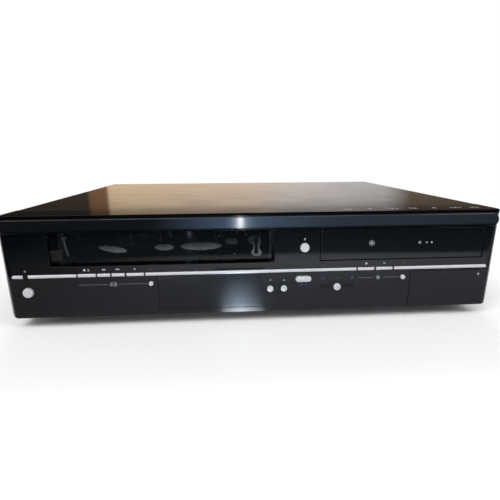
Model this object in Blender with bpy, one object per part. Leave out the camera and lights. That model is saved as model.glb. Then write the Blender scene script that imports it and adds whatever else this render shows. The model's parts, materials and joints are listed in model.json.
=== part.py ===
"""A disc recorder and cassette recorder in one cabinet, piece by piece.

X runs to the right seen from the front, Y runs back and Z runs up, in metres. The origin lies on the
floor below the middle of the whole machine. Heights of the front's features are measured up from the
front panel's lower edge, and depths are measured back from its face.
"""
import math

import bmesh
import bpy
from mathutils import Matrix, Vector

# Cabinet
CABINET_WIDTH = 0.435
CABINET_DEPTH = 0.330
CABINET_HEIGHT = 0.0894
FOOT_HEIGHT = 0.0101
FRONT_PROUD = 0.003
REAR_PROUD = 0.008
SHEET = 0.001
SCREW_HEAD = 0.0012
SCREW_RADIUS = 0.003
SCREW_SHANK = 0.0013
SCREW_LENGTH = 0.005
FLANGE_HEIGHT = 0.012
FOOT_RADIUS = 0.017
FOOT_TOE_RADIUS = 0.015
FOOT_INSET_X = 0.032
FOOT_INSET_Y = 0.040

# Clearances: between fixed pieces, round moving ones, and how far a cutter overruns
GAP = 0.0003
PLAY = 0.0006
OVERRUN = 0.002

# Front panel
PANEL_WALL = 0.003
PANEL_DEPTH = 0.016
PANEL_TOP_DEPTH = 0.038
PANEL_CORNER = 0.008
PANEL_FOOT_CORNER = 0.006
LIP_HEIGHT = 0.0033
LIP_SETBACK = 0.004
BAND_HEIGHT = 0.0104
BAND_PROUD = 0.001
BAND_INSET = 0.0125
BOSS_RADIUS = 0.003

# Cassette slot and its door
CASSETTE_WIDTH = 0.187
CASSETTE_DEPTH = 0.1025
CASSETTE_HEIGHT = 0.025
SLOT_X = -0.0812
SLOT_WIDTH = 0.1908
SLOT_LOW = 0.046
SLOT_HEIGHT = 0.029
SLOT_CORNER = 0.0015
DOOR_GAP_LEFT = 0.0013
DOOR_GAP_RIGHT = 0.0023
DOOR_GAP_LOW = 0.003
DOOR_GAP_TOP = 0.001
DOOR_THICK = 0.002
DOOR_SETBACK = 0.0013
DOOR_PIN_RADIUS = 0.0009
DOOR_PIN_DROP = 0.0015
DOOR_PIN_SEAT = 0.002
CHEEK_DEPTH = 0.004
CHEEK_HEIGHT = 0.007

# Disc tray and its front
TRAY_X = 0.12915
TRAY_FRONT_WIDTH = 0.1485
TRAY_FRONT_LOW = 0.0466
TRAY_FRONT_HEIGHT = 0.0278
TRAY_FRONT_THICK = 0.003
TRAY_WIDTH = 0.142
TRAY_LENGTH = 0.158
TRAY_THICK = 0.006
TRAY_RISE = 0.0115
TRAY_NECK = 0.004
TRAY_SIDE_TAB = 0.005
DISC_RADIUS = 0.060
DISC_PLAY = 0.001
DISC_SEAT_DEPTH = 0.003
TRAY_SLOT_WIDTH = 0.036
RACK_DEPTH = 0.006
RACK_BACK = 0.003
RACK_INSET = 0.009
RACK_START = 0.010

# Jack door at the bottom right, and what is behind it
JACK_DOOR_LEFT = 0.1385
JACK_DOOR_HEIGHT = 0.035
JACK_DOOR_RETURN = 0.012
JACK_HINGE_DEPTH = 0.007
JACK_HINGE_RISE = 0.002
JACK_PIN_RADIUS = 0.0008
JACK_PIN_LENGTH = 0.0015
JACK_RAIL_HALF = 0.0015
JACK_EAR_INSET = 0.006
JACK_EAR_THICK = 0.002
JACK_EAR_HALF = 0.0018
JACK_PLATE_DEPTH = 0.0135
JACK_PLATE_THICK = 0.0015
JACK_POST_RADIUS = 0.0025
JACK_BARREL = 0.008
JACK_BARREL_RADIUS = 0.0042
JACK_BORE_RADIUS = 0.0017
JACK_PITCH = 0.014
JACK_COUNT = 3
JACK_ROW_START = 0.016
JACK_ROW_HEIGHT = 0.018

# Silver trim bars across the front
BAR_HEIGHT = 0.0033
BAR_RISE = 0.03795
BAR_PROUD = 0.0014
BAR_SEAT = 0.001
LEFT_BAR_START = -0.2093
LEFT_BAR_END = -0.1564
LONG_BAR_START = -0.098
LONG_BAR_END = 0.0879
RIGHT_BAR_START = 0.1227
RIGHT_BAR_END = 0.2089

# Bar buttons, in line with the trim
STOP_EJECT_START = -0.155
STOP_EJECT_END = -0.140
REWIND_START = -0.1387
REWIND_END = -0.1279
FORWARD_START = -0.1266
FORWARD_END = -0.1156
PLAY_START = -0.114
PLAY_END = -0.0994
DISC_STOP_START = 0.0894
DISC_STOP_END = 0.1043
DISC_PLAY_START = 0.1062
DISC_PLAY_END = 0.121

# Round buttons
POWER_X = -0.198
POWER_RISE = 0.0238
POWER_RADIUS = 0.00525
OPEN_CLOSE_X = 0.0406
OPEN_CLOSE_RISE = 0.0588
OPEN_CLOSE_RADIUS = 0.0044
TAPE_RECORD_X = -0.0937
DISC_RECORD_X = 0.1313
RECORD_RISE = 0.0294
RECORD_RADIUS = 0.00225
CHANNEL_DOWN_X = 0.0106
CHANNEL_UP_X = 0.0229
CHANNEL_RISE = 0.0215
CHANNEL_RADIUS = 0.0031
SELECT_X = 0.0712
SELECT_RISE = 0.0217
SELECT_RADIUS = 0.0036
DUBBING_X = 0.04035
DUBBING_RISE = 0.02985
DUBBING_WIDTH = 0.0141
DUBBING_HEIGHT = 0.0051
SMALL_BUTTON_PROUD = 0.0018
BUTTON_TRAVEL = 0.0008
BUTTON_PLAY = 0.0003
BUTTON_FLANGE = 0.0011
BUTTON_FLANGE_THICK = 0.0008
BUTTON_STEM_RADIUS = 0.001
BUTTON_DOME = 0.0004
RECESS_DEPTH = 0.001
RECESS_RIM = 0.0009

# Recess round the channel pair, and the lamp slot at the select button
CHANNEL_RECESS_START = 0.0055
CHANNEL_RECESS_END = 0.0269
CHANNEL_RECESS_HEIGHT = 0.0107
LAMP_SLOT_START = 0.0563
LAMP_SLOT_END = 0.0861
LAMP_SLOT_HEIGHT = 0.0045
LAMP_THICK = 0.0012
STATUS_LAMP_X = -0.19815
STATUS_LAMP_WIDTH = 0.0037

# Display window, its tube and the switch board
WINDOW_LEFT = -0.088
WINDOW_RIGHT_TOP = 0.0022
WINDOW_RIGHT_LOW = 0.0076
WINDOW_LOW = 0.0046
WINDOW_TOP = 0.0342
WINDOW_THICK = 0.0015
WINDOW_RIM = 0.003
TUBE_WIDTH = 0.070
TUBE_HEIGHT = 0.020
TUBE_THICK = 0.005
TUBE_X = -0.042
BOARD_THICK = 0.0016
BOARD_DEPTH = 0.011
BOARD_LEFT = -0.206
BOARD_RIGHT = 0.134
BOARD_LOW = 0.0045
BOARD_TOP = 0.043
BOARD_TAB_WIDTH = 0.024
BOARD_TAB_TOP = 0.066
BOARD_BOSS_RISE = 0.009
SWITCH_SIZE = 0.005
SWITCH_HEIGHT = 0.0043

# Cassette deck
DECK_WALL = 0.0012
DECK_FRONT = 0.024
DECK_BACK = 0.252
DECK_WALL_BACK = 0.180
DECK_WALL_HEIGHT = 0.058
DECK_LEG_RADIUS = 0.004
DECK_LEG_INSET = 0.008
HOLDER_FRONT = 0.028
HOLDER_WALL = 0.001
HOLDER_PLAY = 0.00075
HOLDER_LEDGE = 0.012
HOLDER_HEADROOM = 0.0008
CASSETTE_LIFT = 0.0008
HOLDER_DROP = 0.024
HOLDER_CLEARANCE = 0.001
CARRIAGE_WALL = 0.001
CARRIAGE_RISE = 0.009
CARRIAGE_BAR_WIDTH = 0.010
CARRIAGE_BAR_GAP = 0.003
HOLDER_PIN_RADIUS = 0.0015
HOLDER_PIN_INSET = 0.022
HUB_SPACING = 0.0927
REEL_DEPTH = 0.130
REEL_RADIUS = 0.019
REEL_FLANGE = 0.0013
HUB_RADIUS = 0.011
HUB_HEIGHT = 0.013
HUB_TIP_RADIUS = 0.0065
HUB_TIP_HEIGHT = 0.004
SHAFT_RADIUS = 0.0015
SHAFT_PLAY = 0.0002

# Head drum
DRUM_DEPTH = 0.218
DRUM_RADIUS = 0.031
DRUM_TILT = math.radians(6)
DRUM_BASE_HEIGHT = 0.006
DRUM_BASE_RADIUS = 0.020
LOWER_DRUM_HEIGHT = 0.013
UPPER_DRUM_HEIGHT = 0.012
DRUM_WALL = 0.003
DRUM_HUB_RADIUS = 0.009
DRUM_HUB_RISE = 0.003
DRUM_SHAFT_RADIUS = 0.0025
DRUM_SHAFT_RISE = 0.001

# Capstan, pinch roller, guides and heads round the drum
CAPSTAN_X = 0.045
CAPSTAN_DEPTH = 0.190
CAPSTAN_HEIGHT = 0.026
FLYWHEEL_RADIUS = 0.020
FLYWHEEL_THICK = 0.007
PINCH_RADIUS = 0.006
PINCH_HEIGHT = 0.014
PINCH_ARM_LENGTH = 0.022
PINCH_ARM_WIDTH = 0.007
PINCH_ARM_THICK = 0.0015
PINCH_ARM_ANGLE = math.radians(240)
PINCH_SWING = math.radians(20)
PINCH_PIN_HEIGHT = 0.020
GUIDE_RADIUS = 0.0025
GUIDE_HEIGHT = 0.024
GUIDE_COLLAR_RADIUS = 0.0038
GUIDE_COLLAR_HEIGHT = 0.004
ENTRY_GUIDE_X = 0.078
ENTRY_GUIDE_DEPTH = 0.188
SLANT_GUIDE_X = 0.040
SLANT_GUIDE_DEPTH = 0.197
HEAD_WIDTH = 0.012
HEAD_LENGTH = 0.008
HEAD_HEIGHT = 0.020
ERASE_HEAD_X = -0.060
ERASE_HEAD_DEPTH = 0.195
CONTROL_HEAD_X = 0.0385
CONTROL_HEAD_DEPTH = 0.210

# Cassette loading drive on the deck's left wall
LOADING_GEAR_DEPTH = 0.105
LOADING_GEAR_RISE = 0.028
LOADING_GEAR_TEETH = 30
LOADING_GEAR_THICK = 0.004
MOTOR_RADIUS = 0.011
MOTOR_LENGTH = 0.024
MOTOR_SHAFT_LENGTH = 0.034
WORM_RADIUS = 0.003
GEAR_HUB_RADIUS = 0.004
GEAR_STANDOFF = 0.009

# Teeth, alike on every gear and rack
TOOTH_PITCH = 0.004
TOOTH_TIP = 0.0009
TOOTH_ROOT = 0.0014
TOOTH_ROOT_SHARE = 0.38
TOOTH_TIP_SHARE = 0.22

# Disc drive
LOADER_WIDTH = 0.148
LOADER_WALL = 0.002
LOADER_FRONT = 0.0168
LOADER_BACK = 0.205
LOADER_LOW = 0.036
LOADER_HEIGHT = 0.038
LOADER_FLOOR = 0.002
LOADER_LEDGE = 0.008
LOADER_LEDGE_THICK = 0.0015
LOADER_LEG_SIZE = 0.008
LOADER_WINDOW_INSET = 0.020
LOADER_WINDOW_FRONT = 0.062
TRAY_GEAR_TEETH = 14
TRAY_GEAR_DEPTH = 0.020
TRAY_GEAR_THICK = 0.004
TRAY_GEAR_POST_RADIUS = 0.0024
PINION_RADIUS = 0.004
PINION_ANGLE = math.radians(45)
TRAVERSE_WIDTH = 0.090
TRAVERSE_FRONT = 0.055
TRAVERSE_BACK = 0.186
TRAVERSE_THICK = 0.0015
TRAVERSE_RISE = 0.009
TRAVERSE_PIN_RADIUS = 0.0015
TRAVERSE_PIN_LENGTH = 0.007
TRAVERSE_REST_X = 0.035
BEARING_HALF = 0.003
BEARING_THICK = 0.004
JOURNAL_RADIUS = 0.001
TRAVERSE_WINDOW_HALF = 0.024
TRAVERSE_WINDOW_START = 0.020
TRAVERSE_WINDOW_LENGTH = 0.078
ROD_RADIUS = 0.0015
ROD_X = 0.018
TURNTABLE_RADIUS = 0.015
TURNTABLE_THICK = 0.002
TURNTABLE_CONE_RADIUS = 0.0068
TURNTABLE_CONE_HEIGHT = 0.0025
TURNTABLE_DROP = 0.0015
SPINDLE_MOTOR_RADIUS = 0.012
SPINDLE_MOTOR_HEIGHT = 0.006
SLED_LENGTH = 0.026
SLED_HEIGHT = 0.006
SLED_START = 0.024
LENS_RADIUS = 0.003
LENS_HEIGHT = 0.0012
LENS_RIM = 0.0008
LEAD_X = 0.030
LEAD_RADIUS = 0.0015
BRIDGE_WIDTH = 0.036
BRIDGE_THICK = 0.001
BRIDGE_HOLE_RADIUS = 0.0135
PUCK_RADIUS = 0.0155
PUCK_NECK_RADIUS = 0.0115
PUCK_FLANGE = 0.0015
PUCK_DROP = 0.006

# Boards and power supply
STANDOFF_RADIUS = 0.003
STANDOFF_HEIGHT = 0.006
STANDOFF_INSET = 0.008
MAIN_BOARD_LEFT = -0.205
MAIN_BOARD_RIGHT = 0.058
MAIN_BOARD_DEPTH = 0.056
POWER_BOARD_LEFT = 0.070
POWER_BOARD_RIGHT = 0.206
POWER_BOARD_DEPTH = 0.104
BOARD_BACK_GAP = 0.004
CHIP_SIZE = 0.024
CHIP_THICK = 0.003
SHIELD_WIDTH = 0.060
SHIELD_HEIGHT = 0.010
CAPACITOR_RADIUS = 0.009
CAPACITOR_HEIGHT = 0.030
HEATSINK_LENGTH = 0.050
HEATSINK_HEIGHT = 0.035
FIN_THICK = 0.0015
FIN_REACH = 0.010
FIN_COUNT = 6
TRANSFORMER_WIDTH = 0.038
TRANSFORMER_DEPTH = 0.034
TRANSFORMER_HEIGHT = 0.030
BOBBIN_BULGE = 0.005

# Rear sockets
SOCKET_RISE = 0.030
SOCKET_PITCH = 0.016
SOCKET_ROWS = 2
SOCKET_COLUMNS = 4
SOCKET_X = 0.002
SOCKET_RADIUS = 0.0042
SCART_WIDTH = 0.047
SCART_HEIGHT = 0.013
SCART_DEPTH = 0.012
SCART_WALL = 0.002
SCART_X = -0.082
SCART_RISE = 0.022
SCART_PITCH = 0.022
SCART_COUNT = 2
SCART_PROUD = 0.003
TUNER_WIDTH = 0.044
TUNER_DEPTH = 0.036
TUNER_HEIGHT = 0.040
TUNER_X = -0.165
AERIAL_RADIUS = 0.0045
AERIAL_BORE_RADIUS = 0.0018
AERIAL_PITCH = 0.020
INLET_X = 0.168
INLET_RISE = 0.036
INLET_WIDTH = 0.022
INLET_HEIGHT = 0.013
INLET_DEPTH = 0.018
INLET_WALL = 0.002
INLET_PIN_RADIUS = 0.0012
INLET_PIN_SPACING = 0.008
INLET_PIN_LENGTH = 0.008
VENT_WIDTH = 0.0025
VENT_HEIGHT = 0.026
VENT_PITCH = 0.007
SIDE_VENTS = 9
SIDE_VENT_BACK = 0.040
REAR_VENTS = 7
REAR_VENT_X = 0.085

# Segments of round shapes
FINE_SIDES = 36
ROUND_SIDES = 16
SMALL_SIDES = 8
CORNER_STEPS = 3
SMOOTH_ANGLE = math.radians(35)

# Planes and places that several pieces share
LEFT = -CABINET_WIDTH / 2
RIGHT = CABINET_WIDTH / 2
BOTTOM = FOOT_HEIGHT
TOP = FOOT_HEIGHT + CABINET_HEIGHT
FRONT = (FRONT_PROUD - CABINET_DEPTH - REAR_PROUD) / 2
BACK = FRONT + CABINET_DEPTH
WALL_BACK = FRONT + PANEL_WALL
SHELF = TOP - LIP_HEIGHT
COVER_HALF = RIGHT - SCREW_HEAD
BASE_HALF = COVER_HALF - SHEET - GAP
SHELL_FRONT = FRONT + PANEL_DEPTH + GAP
FLOOR_TOP = BOTTOM + SHEET
SLOT_LEFT = SLOT_X - SLOT_WIDTH / 2
SLOT_RIGHT = SLOT_X + SLOT_WIDTH / 2
SLOT_BASE = BOTTOM + SLOT_LOW
SLOT_ROOF = SLOT_BASE + SLOT_HEIGHT
DOOR_TOP = SLOT_ROOF - DOOR_GAP_TOP
DOOR_HINGE_Y = FRONT + DOOR_SETBACK + DOOR_THICK / 2
DOOR_HINGE_Z = DOOR_TOP - DOOR_PIN_DROP
JACK_HINGE_Y = FRONT + JACK_HINGE_DEPTH
JACK_HINGE_Z = BOTTOM + JACK_HINGE_RISE
JACK_PLATE_Y = FRONT + JACK_PLATE_DEPTH
BAR_Z = BOTTOM + BAR_RISE
BOARD_Y = FRONT + BOARD_DEPTH
FLANGE_Y = WALL_BACK + GAP
STEM_END = BOARD_Y - SWITCH_HEIGHT - BUTTON_TRAVEL - GAP
HOLDER_HALF = CASSETTE_WIDTH / 2 + HOLDER_PLAY + HOLDER_WALL
CARRIAGE_HALF = HOLDER_HALF + GAP + CARRIAGE_WALL
DECK_HALF = CARRIAGE_HALF + GAP + DECK_WALL
HOLDER_Y = FRONT + HOLDER_FRONT
HOLDER_END = HOLDER_Y + CASSETTE_DEPTH + 2 * HOLDER_PLAY
HOLDER_LOW = SLOT_BASE + CASSETTE_LIFT - GAP - HOLDER_WALL
HOLDER_TOP = SLOT_BASE + CASSETTE_LIFT + CASSETTE_HEIGHT + HOLDER_HEADROOM + HOLDER_WALL
HOLDER_PIN_Z = (HOLDER_LOW + HOLDER_TOP) / 2
DECK_TOP = HOLDER_LOW - HOLDER_DROP - HOLDER_CLEARANCE
DECK_UNDER = DECK_TOP - DECK_WALL
DECK_SIDE = SLOT_X - DECK_HALF
DRUM_CENTRE = (SLOT_X, FRONT + DRUM_DEPTH, DECK_TOP)
CAPSTAN = (SLOT_X + CAPSTAN_X, FRONT + CAPSTAN_DEPTH)
GEAR_Y = FRONT + LOADING_GEAR_DEPTH
GEAR_Z = DECK_TOP + LOADING_GEAR_RISE
MOTOR_X = DECK_SIDE - GAP - MOTOR_RADIUS
SLAB_LOW = BOTTOM + TRAY_FRONT_LOW + TRAY_RISE
SLAB_TOP = SLAB_LOW + TRAY_THICK
SLAB_FRONT = FRONT + TRAY_FRONT_THICK + GAP
SLAB_BACK = SLAB_FRONT + TRAY_LENGTH
SEAT_RADIUS = DISC_RADIUS + DISC_PLAY
DISC_Y = SLAB_FRONT + TRAY_NECK + SEAT_RADIUS
LOADER_HALF = LOADER_WIDTH / 2
LOADER_BASE = BOTTOM + LOADER_LOW
LOADER_DECK = LOADER_BASE + LOADER_FLOOR
LOADER_TOP = LOADER_BASE + LOADER_HEIGHT
RACK_X = TRAY_X - TRAY_WIDTH / 2 + RACK_INSET
TRAY_GEAR_Y = FRONT + TRAY_GEAR_DEPTH
TRAVERSE_LOW = LOADER_BASE + TRAVERSE_RISE
TRAVERSE_TOP = TRAVERSE_LOW + TRAVERSE_THICK
TRAVERSE_HINGE_Y = FRONT + TRAVERSE_BACK - 2 * TRAVERSE_PIN_RADIUS
TRAVERSE_HINGE_Z = (TRAVERSE_LOW + TRAVERSE_TOP) / 2
RAIL_START = DISC_Y + TRAVERSE_WINDOW_START
RAIL_END = RAIL_START + TRAVERSE_WINDOW_LENGTH
LEAD_Z = TRAVERSE_TOP + LEAD_RADIUS + PLAY
BRIDGE_LOW = LOADER_TOP + GAP
BRIDGE_TOP = BRIDGE_LOW + BRIDGE_THICK
PCB_LOW = FLOOR_TOP + STANDOFF_HEIGHT
PCB_TOP = PCB_LOW + BOARD_THICK
PCB_BACK = BACK - SHEET - BOARD_BACK_GAP
SOCKET_BACK = BACK - SHEET - GAP


def pitch_radius(teeth):
    return teeth * TOOTH_PITCH / math.tau


TRAY_GEAR_X = RACK_X + RACK_BACK + TOOTH_ROOT + pitch_radius(TRAY_GEAR_TEETH)

# Button name, start and end along X
BAR_BUTTONS = {
    "stop_eject_button": (STOP_EJECT_START, STOP_EJECT_END),
    "rewind_button": (REWIND_START, REWIND_END),
    "fast_forward_button": (FORWARD_START, FORWARD_END),
    "play_button": (PLAY_START, PLAY_END),
    "disc_stop_button": (DISC_STOP_START, DISC_STOP_END),
    "disc_play_button": (DISC_PLAY_START, DISC_PLAY_END),
}
# Button name, centre, radius and how far it stands out
ROUND_BUTTONS = {
    "power_button": (POWER_X, POWER_RISE, POWER_RADIUS, FRONT_PROUD),
    "open_close_button": (OPEN_CLOSE_X, OPEN_CLOSE_RISE, OPEN_CLOSE_RADIUS, FRONT_PROUD),
    "tape_record_button": (TAPE_RECORD_X, RECORD_RISE, RECORD_RADIUS, SMALL_BUTTON_PROUD),
    "disc_record_button": (DISC_RECORD_X, RECORD_RISE, RECORD_RADIUS, SMALL_BUTTON_PROUD),
    "channel_down_button": (CHANNEL_DOWN_X, CHANNEL_RISE, CHANNEL_RADIUS, SMALL_BUTTON_PROUD),
    "channel_up_button": (CHANNEL_UP_X, CHANNEL_RISE, CHANNEL_RADIUS, SMALL_BUTTON_PROUD),
    "select_button": (SELECT_X, SELECT_RISE, SELECT_RADIUS, FRONT_PROUD),
}
# Where the bosses stand along the switch board, and the screws along the cabinet's depth
BOSS_SHARES = (0.03, 0.27, 0.66, 0.97)
SIDE_SCREW_SHARES = (0.2, 0.85)
REAR_SCREW_SHARES = (0.06, 0.44, 0.94)
CHIP_SHARES = (0.30, 0.85)
CAPACITOR_SHARES = (0.13, 0.33)
TAB_SHARES = (0.05, 0.60)
JACK_POST_SHARES = (0.1, 0.9)

# What turns an upright shape so that it points along each axis
TURNS = {
    "X": Matrix.Rotation(math.pi / 2, 4, "Y"),
    "Y": Matrix.Rotation(-math.pi / 2, 4, "X"),
    "Z": Matrix.Identity(4),
}

# Colour, roughness and metallic value of each finish
FINISHES = {
    "black_gloss": ((0.008, 0.008, 0.010), 0.12, 0.0),
    "black_satin": ((0.015, 0.015, 0.017), 0.40, 0.0),
    "smoked_clear": ((0.010, 0.010, 0.014), 0.06, 0.0),
    "silver_gloss": ((0.72, 0.72, 0.74), 0.25, 0.8),
    "black_steel": ((0.012, 0.012, 0.013), 0.30, 0.5),
    "plated_steel": ((0.60, 0.61, 0.62), 0.35, 1.0),
    "machined_aluminium": ((0.75, 0.75, 0.76), 0.22, 1.0),
    "grey_moulding": ((0.10, 0.10, 0.11), 0.55, 0.0),
    "cream_moulding": ((0.75, 0.72, 0.62), 0.50, 0.0),
    "rubber": ((0.02, 0.02, 0.02), 0.80, 0.0),
    "board_green": ((0.02, 0.16, 0.06), 0.45, 0.0),
    "board_brown": ((0.35, 0.22, 0.08), 0.50, 0.0),
    "lamp_window": ((0.03, 0.03, 0.05), 0.15, 0.0),
}


def clear_scene():
    for obj in list(bpy.context.scene.objects):
        bpy.data.objects.remove(obj, do_unlink=True)


def finish_of(name):
    """The material of this name, made from its colour, roughness and metallic value on first use."""
    found = bpy.data.materials.get(name)
    if found:
        return found
    colour, roughness, metallic = FINISHES[name]
    made = bpy.data.materials.new(name)
    made.use_nodes = True
    shader = made.node_tree.nodes["Principled BSDF"]
    shader.inputs["Base Color"].default_value = (*colour, 1.0)
    shader.inputs["Roughness"].default_value = roughness
    shader.inputs["Metallic"].default_value = metallic
    return made


def along(axis, u, v, w):
    """The point at w on this axis and at u, v on the other two, in X, Y, Z order."""
    if axis == "X":
        return Vector((w, u, v))
    if axis == "Y":
        return Vector((u, w, v))
    return Vector((u, v, w))


def rectangle(u0, v0, u1, v1, radius=0.0, rounded=(True, True, True, True)):
    """An outline with the chosen corners rounded: low left, low right, top right, top left."""
    corners = ((u0, v0, 1, 1), (u1, v0, -1, 1), (u1, v1, -1, -1), (u0, v1, 1, -1))
    points = []
    for index, (u, v, to_u, to_v) in enumerate(corners):
        if not (radius and rounded[index]):
            points.append((u, v))
            continue
        start = math.pi + index * math.pi / 2
        for step in range(CORNER_STEPS + 1):
            angle = start + step * math.pi / 2 / CORNER_STEPS
            points.append((
                u + to_u * radius + radius * math.cos(angle),
                v + to_v * radius + radius * math.sin(angle),
            ))
    return points


def circle(u, v, radius, sides=ROUND_SIDES):
    turns = (math.tau * index / sides for index in range(sides))
    return [(u + radius * math.cos(turn), v + radius * math.sin(turn)) for turn in turns]


def corner(u, v, to_u, to_v, radius):
    """What is cut off a sharp corner to round it. to_u and to_v, each 1 or -1, point into the solid."""
    points = [(u - to_u * OVERRUN, v - to_v * OVERRUN), (u - to_u * OVERRUN, v + to_v * radius)]
    for step in range(CORNER_STEPS + 1):
        angle = step * math.pi / 2 / CORNER_STEPS
        points.append((
            u + to_u * radius * (1 - math.cos(angle)),
            v + to_v * radius * (1 - math.sin(angle)),
        ))
    points.append((u + to_u * radius, v - to_v * OVERRUN))
    return points


def gear_outline(teeth, phase):
    """Straight-sided teeth round a pitch circle, the first one's middle at the angle phase."""
    radius = pitch_radius(teeth)
    step = math.tau / teeth
    points = []
    for tooth in range(teeth):
        middle = phase + tooth * step
        for share, reach in (
            (-TOOTH_ROOT_SHARE, -TOOTH_ROOT),
            (-TOOTH_TIP_SHARE, TOOTH_TIP),
            (TOOTH_TIP_SHARE, TOOTH_TIP),
            (TOOTH_ROOT_SHARE, -TOOTH_ROOT),
        ):
            angle = middle + share * step / 2
            points.append(((radius + reach) * math.cos(angle), (radius + reach) * math.sin(angle)))
    return points


def rack_outline(start, teeth, back, root):
    """Straight teeth pointing to +U along V from start; back and root are U places."""
    points = [(back, start)]
    for tooth in range(teeth):
        middle = start + (tooth + 1 / 2) * TOOTH_PITCH
        for share, reach in (
            (-TOOTH_ROOT_SHARE, 0),
            (-TOOTH_TIP_SHARE, TOOTH_ROOT + TOOTH_TIP),
            (TOOTH_TIP_SHARE, TOOTH_ROOT + TOOTH_TIP),
            (TOOTH_ROOT_SHARE, 0),
        ):
            points.append((root + reach, middle + share * TOOTH_PITCH / 2))
    points.append((back, start + teeth * TOOTH_PITCH))
    return points


def block(low, high):
    shape = bmesh.new()
    low, high = Vector(low), Vector(high)
    place = Matrix.Translation((low + high) / 2) @ Matrix.Diagonal((*(high - low), 1))
    bmesh.ops.create_cube(shape, size=1, matrix=place)
    return shape


def prism(outline, low, high, axis):
    """The outline, drawn straight along the axis from low to high."""
    shape = bmesh.new()
    face = shape.faces.new([shape.verts.new(along(axis, u, v, low)) for u, v in outline])
    made = bmesh.ops.extrude_face_region(shape, geom=[face])["geom"]
    moved = [item for item in made if isinstance(item, bmesh.types.BMVert)]
    bmesh.ops.translate(shape, verts=moved, vec=along(axis, 0, 0, high - low))
    bmesh.ops.recalc_face_normals(shape, faces=shape.faces)
    return shape


def rod(axis, u, v, radius, low, high, sides=ROUND_SIDES):
    return prism(circle(u, v, radius, sides), low, high, axis)


def turned(profile, place, axis, sides=ROUND_SIDES, ring=False):
    """A profile of radius and height, spun round the axis at place. A ring's profile is closed."""
    shape = bmesh.new()
    line = [shape.verts.new((radius, 0, height)) for radius, height in profile]
    pairs = list(zip(line, line[1:] + line[:1])) if ring else list(zip(line, line[1:]))
    edges = [shape.edges.new(pair) for pair in pairs]
    bmesh.ops.spin(
        shape, geom=line + edges, cent=(0, 0, 0), axis=(0, 0, 1),
        angle=math.tau, steps=sides, use_merge=False,
    )
    nearest = min(radius for radius, _ in profile if radius)
    bmesh.ops.remove_doubles(shape, verts=shape.verts, dist=nearest / FINE_SIDES ** 2)
    bmesh.ops.recalc_face_normals(shape, faces=shape.faces)
    if not isinstance(axis, Matrix):
        axis = TURNS[axis]
    bmesh.ops.transform(shape, verts=shape.verts, matrix=Matrix.Translation(place) @ axis)
    return shape


def mesh_of(name, shapes, pivot):
    """One mesh of all these shapes, its zero at the pivot."""
    whole = bmesh.new()
    for shape in shapes:
        step = bpy.data.meshes.new(name)
        shape.to_mesh(step)
        shape.free()
        whole.from_mesh(step)
        bpy.data.meshes.remove(step)
    bmesh.ops.translate(whole, verts=whole.verts, vec=-Vector(pivot))
    mesh = bpy.data.meshes.new(name)
    whole.to_mesh(mesh)
    whole.free()
    mesh.shade_smooth()
    mesh.set_sharp_from_angle(angle=SMOOTH_ANGLE)
    return mesh


def combine(obj, operation, shapes):
    """Joins these shapes to the object, keeps it only inside them, or cuts them from it."""
    if not shapes:
        return
    name = f"{obj.name}_{operation.lower()}_{len(obj.modifiers)}"
    tool = bpy.data.objects.new(name, mesh_of(name, shapes, obj.location))
    tool.location = obj.location
    tool.hide_render = True
    tool.display_type = "WIRE"
    bpy.context.collection.objects.link(tool)
    modifier = obj.modifiers.new(operation.title(), "BOOLEAN")
    modifier.operation = operation
    modifier.solver = "EXACT"
    modifier.use_self = len(shapes) > 1
    modifier.object = tool


def piece(name, finish, solids, joins=(), keeps=(), cuts=(), adds=(), pivot=(0, 0, 0)):
    """One named object: its solids, joined, kept inside, cut and then added to, in that order."""
    obj = bpy.data.objects.new(name, mesh_of(name, solids, pivot))
    obj.location = pivot
    obj.data.materials.append(finish_of(finish))
    bpy.context.collection.objects.link(obj)
    combine(obj, "UNION", joins)
    combine(obj, "INTERSECT", keeps)
    combine(obj, "DIFFERENCE", cuts)
    combine(obj, "UNION", adds)
    return obj


def front_corners():
    """What rounds the front panel's upright front edges and its lower corners."""
    low, high = BOTTOM - OVERRUN, TOP + OVERRUN
    back = FRONT + PANEL_TOP_DEPTH + OVERRUN
    return [
        prism(corner(LEFT, FRONT, 1, 1, PANEL_CORNER), low, high, "Z"),
        prism(corner(RIGHT, FRONT, -1, 1, PANEL_CORNER), low, high, "Z"),
        prism(corner(LEFT, BOTTOM, 1, 1, PANEL_FOOT_CORNER), FRONT - OVERRUN, back, "Y"),
        prism(corner(RIGHT, BOTTOM, -1, 1, PANEL_FOOT_CORNER), FRONT - OVERRUN, back, "Y"),
    ]


def front_block():
    """The front panel's outside, with its upper lip set back."""
    back = FRONT + PANEL_TOP_DEPTH
    profile = [
        (FRONT, BOTTOM), (back, BOTTOM), (back, TOP),
        (FRONT + LIP_SETBACK, TOP), (FRONT + LIP_SETBACK, SHELF), (FRONT, SHELF),
    ]
    return prism(profile, LEFT, RIGHT, "X")


def front_hollow():
    """The room behind the front panel's walls."""
    inner_left, inner_right = LEFT + PANEL_WALL, RIGHT - PANEL_WALL
    back = FRONT + PANEL_TOP_DEPTH + OVERRUN
    roof = TOP - PANEL_WALL
    return [
        block((inner_left, WALL_BACK, BOTTOM + PANEL_WALL), (inner_right, back, SHELF - PANEL_WALL)),
        block((inner_left, WALL_BACK + LIP_SETBACK, BOTTOM + PANEL_WALL), (inner_right, back, roof)),
        block((LEFT - OVERRUN, FRONT + PANEL_DEPTH, BOTTOM - OVERRUN), (RIGHT + OVERRUN, back, roof)),
    ]


def window_outline(grow=0.0):
    """The display window: its right side leans out towards the bottom."""
    return [
        (WINDOW_LEFT - grow, BOTTOM + WINDOW_LOW - grow),
        (WINDOW_RIGHT_LOW + grow, BOTTOM + WINDOW_LOW - grow),
        (WINDOW_RIGHT_TOP + grow, BOTTOM + WINDOW_TOP + grow),
        (WINDOW_LEFT - grow, BOTTOM + WINDOW_TOP + grow),
    ]


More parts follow.
